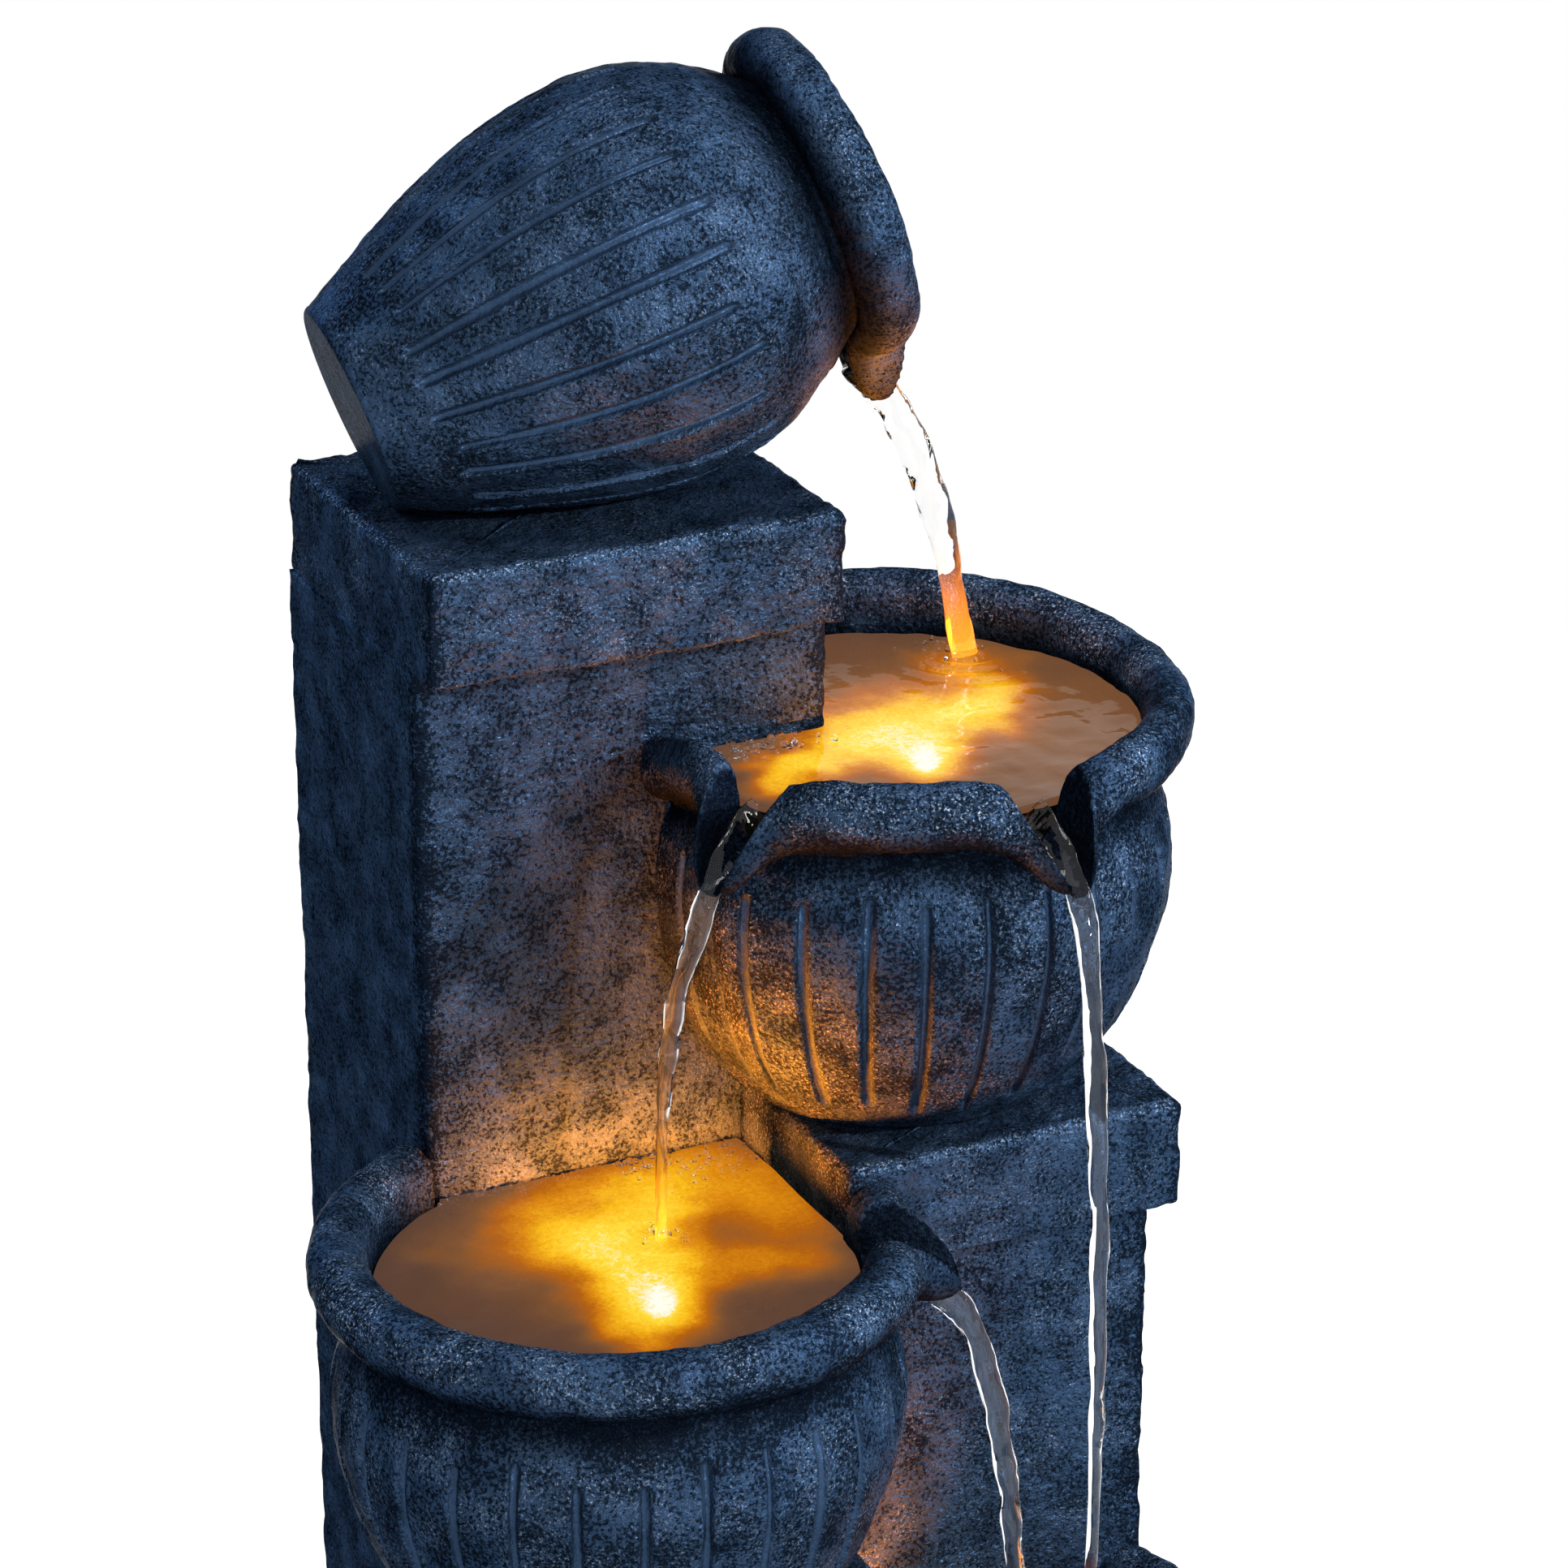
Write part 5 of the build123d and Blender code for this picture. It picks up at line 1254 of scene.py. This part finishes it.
@dataclass
class Pool(Piece):
    """Standing water in a bowl: rings that reach out to the columns, rippled where a stream falls in."""

    name: str
    centre: Point
    glow: Glow
    falls: tuple[Pair, ...]
    radius: float = 51.9
    thickness: float = 1.5
    blocks: tuple[Footprint, ...] = ()
    opened: Pair | None = None
    swell: Layers = ((0.35, 14.0), (0.16, 5.0))
    ripple: float = 0.8
    ripple_rate: float = 0.9
    ripple_reach: float = 9.0
    swirl: float = 3.5
    swirl_pitches: Pair = (13.0, 5.0)
    still_band: Pair = (4.0, 20.0)
    patch_power: float = 1.25
    lamp_power: float = 2.0
    glow_turn: float = -25.6
    heart_share: float = 0.03
    rings: int = 96
    columns: int = 300
    under_every: int = 6
    seed: int = 5
    finish = Finish.pool_water

    def grid(self) -> tuple[Array, Marks]:
        """Skin in world millimetres, from the middle of the underside out and back in, and the glow mark."""
        theta = np.linspace(0.0, math.tau, self.columns, endpoint=False)
        ray = np.stack([np.cos(theta), np.sin(theta)], axis=-1)
        limit = np.full(self.columns, self.radius)
        if self.opened:
            first, last = (math.radians(a) for a in self.opened)
            limit = np.where((theta - first) % math.tau < last - first, FAR, limit)
        for block in self.blocks:
            limit = np.minimum(limit, ray_to_box(self.centre, ray, block))
        share = np.linspace(self.heart_share, 1.0, self.rings)
        flat = np.array(self.centre[:2]) + ray[None] * (share[:, None] * limit[None, :])[..., None]
        top, below = (
            np.concatenate([flat, (self.centre[2] + rise)[..., None]], axis=-1)
            for rise in (self.waves(flat), np.full(flat.shape[:-1], -self.thickness))
        )
        grid = np.concatenate([below[:: self.under_every], below[-1:], top[::-1]])
        return grid, {"glow": self.light(grid)}

    def waves(self, flat: Array) -> Array:
        """Ripples: rings that die away from each fall, over a slow swell of noise."""
        still = np.concatenate([flat, np.zeros(flat.shape[:-1] + (1,))], axis=-1)
        wave = layered_noise(still, self.swell, self.seed)
        for x, y in self.falls:
            away = np.hypot(flat[..., 0] - x, flat[..., 1] - y)
            wave += self.ripple * np.sin(away * self.ripple_rate) * np.exp(-away / self.ripple_reach)
        return wave

    def light(self, grid: Array) -> Array:
        """Glow mark: patches that add up short of one, each an oval bell over a plan that noise pushes.

        Args:
            grid: the skin in world millimetres.
        Returns:
            The mark per point; the lamp's own patch is not pushed, and has a flatter top.
        """
        flat = grid * np.array([1.0, 1.0, 0.0])
        push_x, push_y = (
            self.swirl * lattice_noise(flat, self.swirl_pitches[0], self.seed + k)
            + 0.5 * self.swirl * lattice_noise(flat, self.swirl_pitches[1], self.seed + k + 2)
            for k in (3, 4)
        )
        cosine, sine = math.cos(math.radians(self.glow_turn)), math.sin(math.radians(self.glow_turn))
        lamp_x, lamp_y = self.glow.value[0][:2]
        calm = ramp01(*self.still_band, np.hypot(grid[..., 0] - lamp_x, grid[..., 1] - lamp_y))
        dark = np.ones(grid.shape[:-1])
        for x, y, wide, deep, power in self.glow.value:
            loose, sharpness = (calm, self.patch_power) if power < 1.0 else (0.0, self.lamp_power)
            across, along = grid[..., 0] - x + loose * push_x, grid[..., 1] - y + loose * push_y
            u = (across * cosine + along * sine) / wide
            v = (along * cosine - across * sine) / deep
            dark *= 1.0 - power * np.exp(-((u**2 + v**2) ** sharpness))
        return 1.0 - dark


@dataclass
class Stream(Piece):
    """A falling jet: rings along a spline, twisted, ribbed and thinned as the water gathers speed."""

    name: str
    path: tuple[Point, ...]
    widths: tuple[Point, ...]
    twist: float = 2.2
    glow_from: float = 0.8
    glow: float = 0.5
    lump: float = 0.2
    lump_pitch: float = 4.2
    lump_stretch: Point = (1.0, 1.0, 0.6)
    pinch: float = 0.08
    pinch_waves: Point = (46.0, 2.0, 11.0)  # rate, and how far and how fast it strays
    wobble: Pair = (0.25, 9.0)  # turn in radians, and rate
    facing: Point = (0.35, 0.94, 0.0)
    seed: int = 11
    rows: int = 150
    columns: int = 40
    finish = Finish.falling_water

    def grid(self) -> tuple[Array, Marks]:
        """Skin in world millimetres: a lumpy oval that tapers and turns on its way, and the glow mark."""
        path = smooth_curve(self.path, self.rows)
        along = unit(np.gradient(path, axis=0))
        side = unit(np.cross(along, np.array(self.facing)))
        front = np.cross(along, side)
        path, side, front = (part[:, None] for part in (path, side, front))
        t = np.linspace(0.0, 1.0, self.rows)[:, None]
        theta = np.linspace(0.0, math.tau, self.columns, endpoint=False)[None, :]
        share, wides, thins = np.array(self.widths).T
        fall = ramp01(share[1], 1.0, t)
        swing = fall * (self.twist * t + self.wobble[0] * np.sin(t * self.wobble[1]))
        a, b = np.interp(t, share, wides) * np.cos(theta), np.interp(t, share, thins) * np.sin(theta)
        u = a * np.cos(swing) - b * np.sin(swing)
        v = a * np.sin(swing) + b * np.cos(swing)
        ring = path + u[..., None] * side + v[..., None] * front
        stretched = ring * np.array(self.lump_stretch)
        knot = 1.0 + self.lump * lattice_noise(stretched, self.lump_pitch, self.seed)
        rate, stray, stray_rate = self.pinch_waves
        knot += self.pinch * np.sin(t * rate + stray * np.sin(t * stray_rate))
        glow = np.broadcast_to(self.glow * ramp01(self.glow_from, 1.0, t), knot.shape)
        return path + (ring - path) * knot[..., None], {"glow": glow}


@dataclass
class Foam(Piece):
    """Bubbles that float where the water is stirred: domes of clear film, strewn over patches of a pool."""

    name: str
    level: float
    patches: tuple[tuple[float, float, float, float, int], ...]
    blocks: tuple[Footprint, ...]
    smallest: float = 0.35
    largest: float = 1.0
    lifts: Pair = (-30.0, 72.0)  # degrees of the lowest and the highest ring
    rows: int = 4
    columns: int = 8
    seed: int = 23
    finish = Finish.falling_water

    def dome(self) -> Array:
        """One bubble of radius one: rings from below the water line up, then the foot and the crown."""
        lift = np.radians(np.linspace(*self.lifts, self.rows))
        turn = np.linspace(0.0, math.tau, self.columns, endpoint=False)
        lift, turn = np.meshgrid(lift, turn, indexing="ij")
        ring = np.stack([np.cos(lift) * np.cos(turn), np.cos(lift) * np.sin(turn), np.sin(lift)], axis=-1)
        return np.concatenate([ring.reshape(-1, 3), [[0.0, 0.0, -0.5], [0.0, 0.0, 1.0]]])

    def mesh(self) -> bpy.types.Object:
        """Makes all bubbles as one mesh: a dome, scaled and placed by seeded draws, clear of the columns."""
        draw = np.random.default_rng(self.seed)
        spots = [draw.normal((x, y), (wide, deep), (count, 2)) for x, y, wide, deep, count in self.patches]
        spots = np.concatenate(spots)
        for block in self.blocks:
            spots = spots[~within(spots, block)]
        size = self.smallest + (self.largest - self.smallest) * draw.uniform(0.0, 1.0, len(spots)) ** 2
        dome = self.dome()
        place = np.concatenate([spots, np.full((len(spots), 1), self.level)], axis=1)
        points = (place[:, None] + dome[None] * size[:, None, None]).reshape(-1, 3)
        shift = (np.arange(len(spots)) * len(dome))[:, None, None]
        parts = capped_faces(self.rows, self.columns)
        faces = [(shift + part[None]).reshape(-1, part.shape[1]) for part in parts]
        return make_mesh(self.name, points, faces, {"glow": np.zeros(len(points))})


@dataclass
class Studio:
    """Camera, floor, white surround and lamps."""

    eye: Point = (-476.6, -1004.0, 777.0)
    right: Point = (0.9020, -0.4317, 0.0)
    up: Point = (0.1660, 0.3469, 0.9230)
    back: Point = (-0.3985, -0.8326, 0.3846)
    lens: float = 130.57
    sensor: float = 36.0
    sight: float = 20.0
    floor_radius: float = 950.0
    floor_sides: int = 128
    floor_light: float = 0.8
    floor_grey: float = 0.4
    surround_light: float = 0.23
    middle: Point = (0.0, 0.0, 260.0)
    amber: str = "#ff7414"
    peach: str = "#ff7822"

    def camera(self) -> None:
        """Sets the camera at the photograph's viewing angle."""
        data = bpy.data.cameras.new("camera")
        data.lens = self.lens
        data.sensor_width = self.sensor
        data.clip_end = self.sight
        made = bpy.data.objects.new("camera", data)
        turn = Matrix((self.right, self.up, self.back)).transposed().to_4x4()
        made.matrix_world = Matrix.Translation(Vector(self.eye) * MM) @ turn
        bpy.context.scene.collection.objects.link(made)
        bpy.context.scene.camera = made

    def seen(self, tree: bpy.types.NodeTree) -> bpy.types.NodeSocket:
        """One for rays from the camera, from gloss or through glass, else zero.

        Args:
            tree: the node tree to build in.
        Returns:
            The output that holds the value.
        """
        path = add_node(tree, "LightPath").outputs
        seen = path["Is Camera Ray"]
        for kind in ("Is Transmission Ray", "Is Glossy Ray"):
            seen = add_node(tree, "Math", {"operation": "MAXIMUM"}, {0: seen, 1: path[kind]}).outputs[0]
        return seen

    def floor(self) -> None:
        """Lays a pale floor that looks white and keeps the shadow."""
        turn = np.linspace(0.0, math.tau, self.floor_sides, endpoint=False)
        edge = self.floor_radius * np.stack([np.cos(turn), np.sin(turn), np.zeros(len(turn))], axis=1)
        piece = make_mesh("floor", edge, [np.arange(self.floor_sides)[None, :]])
        made = bpy.data.materials.new("paper_sweep_white")
        tree = empty_tree(made)
        span = {"To Max": self.floor_light}
        light = add_node(tree, "MapRange", span, {"Value": self.seen(tree)}).outputs["Result"]
        glow = add_node(tree, "Emission", {"Color": WHITE}, {"Strength": light}).outputs["Emission"]
        grey = (self.floor_grey, self.floor_grey, self.floor_grey, 1.0)
        matt = add_node(tree, "BsdfDiffuse", {"Color": grey}).outputs["BSDF"]
        both = add_node(tree, "AddShader", links={0: glow, 1: matt}).outputs["Shader"]
        add_node(tree, "OutputMaterial", links={"Surface": both})
        piece.data.materials.append(made)

    def surround(self) -> None:
        """Makes the world white to look at and a soft grey as light."""
        world = bpy.data.worlds.new("surround")
        bpy.context.scene.world = world
        tree = empty_tree(world)
        span = {"To Min": self.surround_light, "To Max": 1.0}
        power = add_node(tree, "MapRange", span, {"Value": self.seen(tree)}).outputs["Result"]
        paint = add_node(tree, "Background", {"Color": WHITE}, {"Strength": power}).outputs["Background"]
        add_node(tree, "OutputWorld", links={"Surface": paint})

    def lamp(
        self, name: str, place: Point, target: Point, size: Pair, power: float, colour: str = "#ffffff"
    ) -> bpy.types.Object:
        """Adds a rectangular area lamp.

        Args:
            name: lamp name.
            place: where it stands, in millimetres.
            target: where it looks.
            size: width and height in millimetres.
            power: watts.
            colour: sRGB hex.
        Returns:
            The lamp.
        """
        data = bpy.data.lights.new(name, "AREA")
        data.shape = "RECTANGLE"
        data.size, data.size_y = (side * MM for side in size)
        data.energy = power
        data.color = linear(colour)[:3]
        made = bpy.data.objects.new(name, data)
        aim = (Vector(place) - Vector(target)).to_track_quat("Z", "Y").to_matrix().to_4x4()
        made.matrix_world = Matrix.Translation(Vector(place) * MM) @ aim
        bpy.context.scene.collection.objects.link(made)
        return made

    def embers(self) -> None:
        """Adds the warm light that leaves the pools: lamps on the water that aren't seen or mirrored."""
        amber, peach = self.amber, self.peach
        rows = (  # name, place, target, size, watts, colour, spread in degrees
            ("upper_ember", (50.0, 18.0, 313.0), (53.0, 54.0, 388.0), (12.0, 12.0), 0.26, amber, 70.0),
            ("upper_sheen", (46.0, 30.0, 312.5), (46.0, 30.0, 400.0), (56.0, 56.0), 0.26, amber, 180.0),
            ("cap_ember", (-18.0, 21.5, 322.0), (-18.0, 22.5, 338.0), (94.0, 1.5), 0.03, amber, 50.0),
            ("middle_strip", (-25.0, 15.0, 216.0), (-25.0, 40.0, 222.0), (58.0, 5.0), 0.48, peach, 160.0),
            ("middle_ember", (-26.0, -8.0, 217.0), (0.0, -8.0, 262.0), (24.0, 16.0), 0.7, amber, 110.0),
            ("lower_ember", (26.0, -40.0, 105.0), (-6.0, -28.0, 165.0), (20.0, 16.0), 0.3, amber, 100.0),
        )
        for *lamp, spread in rows:
            made = self.lamp(*lamp)
            made.data.spread = math.radians(spread)
            made.visible_camera = False
            made.visible_glossy = False
            made.visible_transmission = False

    def build(self) -> None:
        """Sets everything up."""
        bpy.context.scene.view_settings.view_transform = "Standard"
        self.camera()
        self.floor()
        self.surround()
        self.lamp("key", (1050.0, -680.0, 860.0), self.middle, (260.0, 260.0), 4.0)
        self.lamp("spark", (900.0, -900.0, 900.0), self.middle, (40.0, 40.0), 16.5)
        self.lamp("sheen", (180.0, -1300.0, 330.0), self.middle, (60.0, 60.0), 4.5)
        self.lamp("side", (1400.0, 250.0, 760.0), self.middle, (500.0, 500.0), 8.0)
        self.lamp("fill", (-700.0, -1300.0, 500.0), self.middle, (900.0, 900.0), 1.6, "#eef3ff")
        self.lamp("rear", (-500.0, 1300.0, 800.0), self.middle, (700.0, 700.0), 10.0)
        self.lamp("top", (150.0, -100.0, 1500.0), self.middle, (500.0, 500.0), 7.0)
        self.embers()
        log.info("studio set")


def jar() -> Jar:
    """The jar, leaning back by its tilt and turned a little, with the middle of its base edge on the cap."""
    tilt, turn = math.radians(19.6), math.radians(-6.6)
    axis = np.array([math.cos(tilt) * math.cos(turn), math.cos(tilt) * math.sin(turn), math.sin(tilt)])
    low = np.array([math.sin(tilt) * math.cos(turn), math.sin(tilt) * math.sin(turn), -math.cos(tilt)])
    base = np.array([-65.4, 68.8, 363.5 + Jar.base_radius * math.cos(tilt)])
    return Jar(
        "jar_body",
        "jar",
        tuple(base + axis * Jar.length),
        Flutes(24, -40.5, -105.5, 1.25, 1.15, turn=math.radians(10.5)),
        (Beak(0.0, 49.5, 9.5, 9.0, 15.0, 4.4, 2.0, 7.0),),
        seed=41,
        water_level=-300.0,
        neck_soot=0.0,
        grime=0.1,
        glint=0.4,
        basis=np.stack([low, np.cross(axis, low), axis]),
    )


def bowls() -> list[Bowl]:
    """The three bowls, from the top down."""
    flutes = Flutes(28, -29.0, -80.0, turn=math.radians(6.5))
    return [
        Bowl(
            "upper_bowl_body",
            "upper_bowl",
            (43.8, 28.2, 320.0),
            flutes,
            (Beak(212.0, 73.5, 20.5), Beak(276.0, 73.5, 20.5)),
            seed=51,
            blocks=(TALL,),
            squeeze=0.2,
            rear_lift=3.5,
            roll_half_width=5.6,
            water_level=-10.0,
        ),
        Bowl(
            "middle_bowl_body",
            "middle_bowl",
            (-43.8, -17.3, 227.5),
            flutes,
            (Beak(338.0, 73.5, 14.5),),
            seed=61,
            blocks=(TALL, SIDE, SIDE_CAP),
            pools=((-66.0, 10.8, 12.7, 34.0), (-23.8, 10.8, -22.2, 34.0)),
        ),
        Bowl("lower_bowl_body", "lower_bowl", (29.0, -35.0, 114.5), flutes, (), seed=71),
    ]


def blocks() -> list[CastPiece]:
    """The columns and their caps."""
    side = ((11.0, -13.0), (88.5, -13.0), (88.5, 105.5), (29.6, 105.5), (29.6, 33.3), (11.0, 33.3))
    side_cap = ((8.5, -22.2), (91.0, -22.2), (91.0, 105.5), (29.6, 105.5), (29.6, 33.3), (8.5, 33.3))
    stand = ((-77.0, -50.0), (10.8, -50.0), (10.8, 33.3), (-77.0, 33.3))
    stand_cap = ((-79.0, -52.0), (10.8, -52.0), (10.8, 33.3), (-79.0, 33.3))
    tall_cap = ((-66.8, 22.5), (30.1, 22.5), (30.1, 105.5), (-66.8, 105.5))
    return [
        CastBlock(
            "tall_cap_block", "tall_cap", tall_cap, 337.8, 363.4, (-18.0, 64.0), bottom_round=0.9, seed=83
        ),
        ColumnSkin(),
        CastBlock("side_cap_block", "side_cap", side_cap, 205.3, 230.4, (60.0, 5.0), seed=85),
        CastBlock("side_column_block", "side_column", side, 25.2, 205.6, (60.0, 5.0), seed=87, step=1.5),
        CastBlock("stand_cap_block", "stand_cap", stand_cap, 118.0, 137.9, (-33.0, -8.0), seed=89),
        CastBlock("stand_block", "stand", stand, 25.2, 118.2, (-33.0, -8.0), seed=93, step=1.5),
    ]


def pools() -> list[Pool]:
    """Standing water, from the top down."""
    return [
        Pool("upper_pool", (43.8, 28.2, 310.0), Glow.upper, ((77.6, 58.6),), blocks=(TALL,), radius=54.6),
        Pool(
            "middle_pool",
            (-43.8, -17.3, 214.5),
            Glow.middle,
            ((-28.3, -6.2),),
            blocks=(TALL, SIDE_CAP),
            opened=(-5.0, 112.0),
        ),
        Pool("lower_pool", (29.0, -35.0, 101.5), Glow.lower, ((46.0, -60.0), (28.0, -58.0))),
    ]


def streams() -> list[Stream]:
    """Falling water, from the top down: points of each path, then share of the way and half widths."""
    lip_widths = (0.0, 3.6, 0.5)
    return [
        Stream(
            "jar_stream",
            (
                (46.0, 53.0, 385.0),
                (54.0, 55.0, 377.0),
                (63.0, 56.2, 361.0),
                (72.0, 57.6, 334.0),
                (77.0, 58.5, 309.5),
            ),
            ((0.0, 3.6, 1.8), (0.15, 3.9, 2.5), (0.5, 3.6, 2.6), (1.0, 3.2, 2.6)),
            glow_from=0.62,
            glow=0.9,
            lump=0.16,
            pinch=0.03,
        ),
        Stream(
            "left_stream",
            (
                (-2.0, -0.4, 308.8),
                (-12.0, -6.6, 302.8),
                (-19.0, -11.0, 295.0),
                (-22.6, -9.6, 284.0),
                (-28.3, -6.2, 214.0),
            ),
            (lip_widths, (0.2, 2.7, 1.1), (0.4, 2.2, 1.5), (1.0, 1.4, 1.1)),
            seed=13,
        ),
        Stream(
            "right_stream",
            (
                (49.5, -26.0, 308.8),
                (50.6, -38.0, 302.8),
                (51.4, -45.5, 295.0),
                (52.0, -48.0, 284.0),
                (52.6, -52.5, 101.0),
            ),
            (lip_widths, (0.1, 2.7, 1.1), (0.25, 2.2, 1.5), (1.0, 1.6, 1.2)),
            seed=17,
            rows=240,
        ),
        Stream(
            "middle_stream",
            (
                (8.5, -38.4, 214.2),
                (18.0, -42.3, 210.0),
                (25.0, -45.2, 203.5),
                (29.0, -47.5, 192.0),
                (36.5, -52.0, 101.0),
            ),
            ((0.0, 3.6, 0.9), (0.2, 2.8, 1.4), (1.0, 1.9, 1.3)),
            seed=19,
        ),
    ]


def foams() -> list[Foam]:
    """Bubbles on the upper and the middle pool: place, spread and number of each patch."""
    upper = ((10.0, 29.0, 7.0, 3.0, 90), (74.0, 60.0, 5.0, 5.0, 60))
    middle = ((-2.0, 26.0, 9.0, 5.0, 130), (-40.0, 31.0, 16.0, 1.4, 110), (-26.0, -4.0, 4.0, 4.0, 40))
    return [
        Foam("upper_foam", 310.1, upper, (TALL,)),
        Foam("middle_foam", 214.6, middle, (TALL, SIDE_CAP), seed=29),
    ]


def main() -> None:
    """Builds the fountain's pieces in order."""
    logging.basicConfig(level=logging.INFO, format="%(message)s")
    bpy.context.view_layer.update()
    dresser = Dresser()
    dresser.dress_nodes()
    for piece in [*blocks(), jar(), *bowls(), *pools(), *streams(), *foams()]:
        piece.build(dresser)
    Studio().build()


if __name__ == "__main__":
    main()
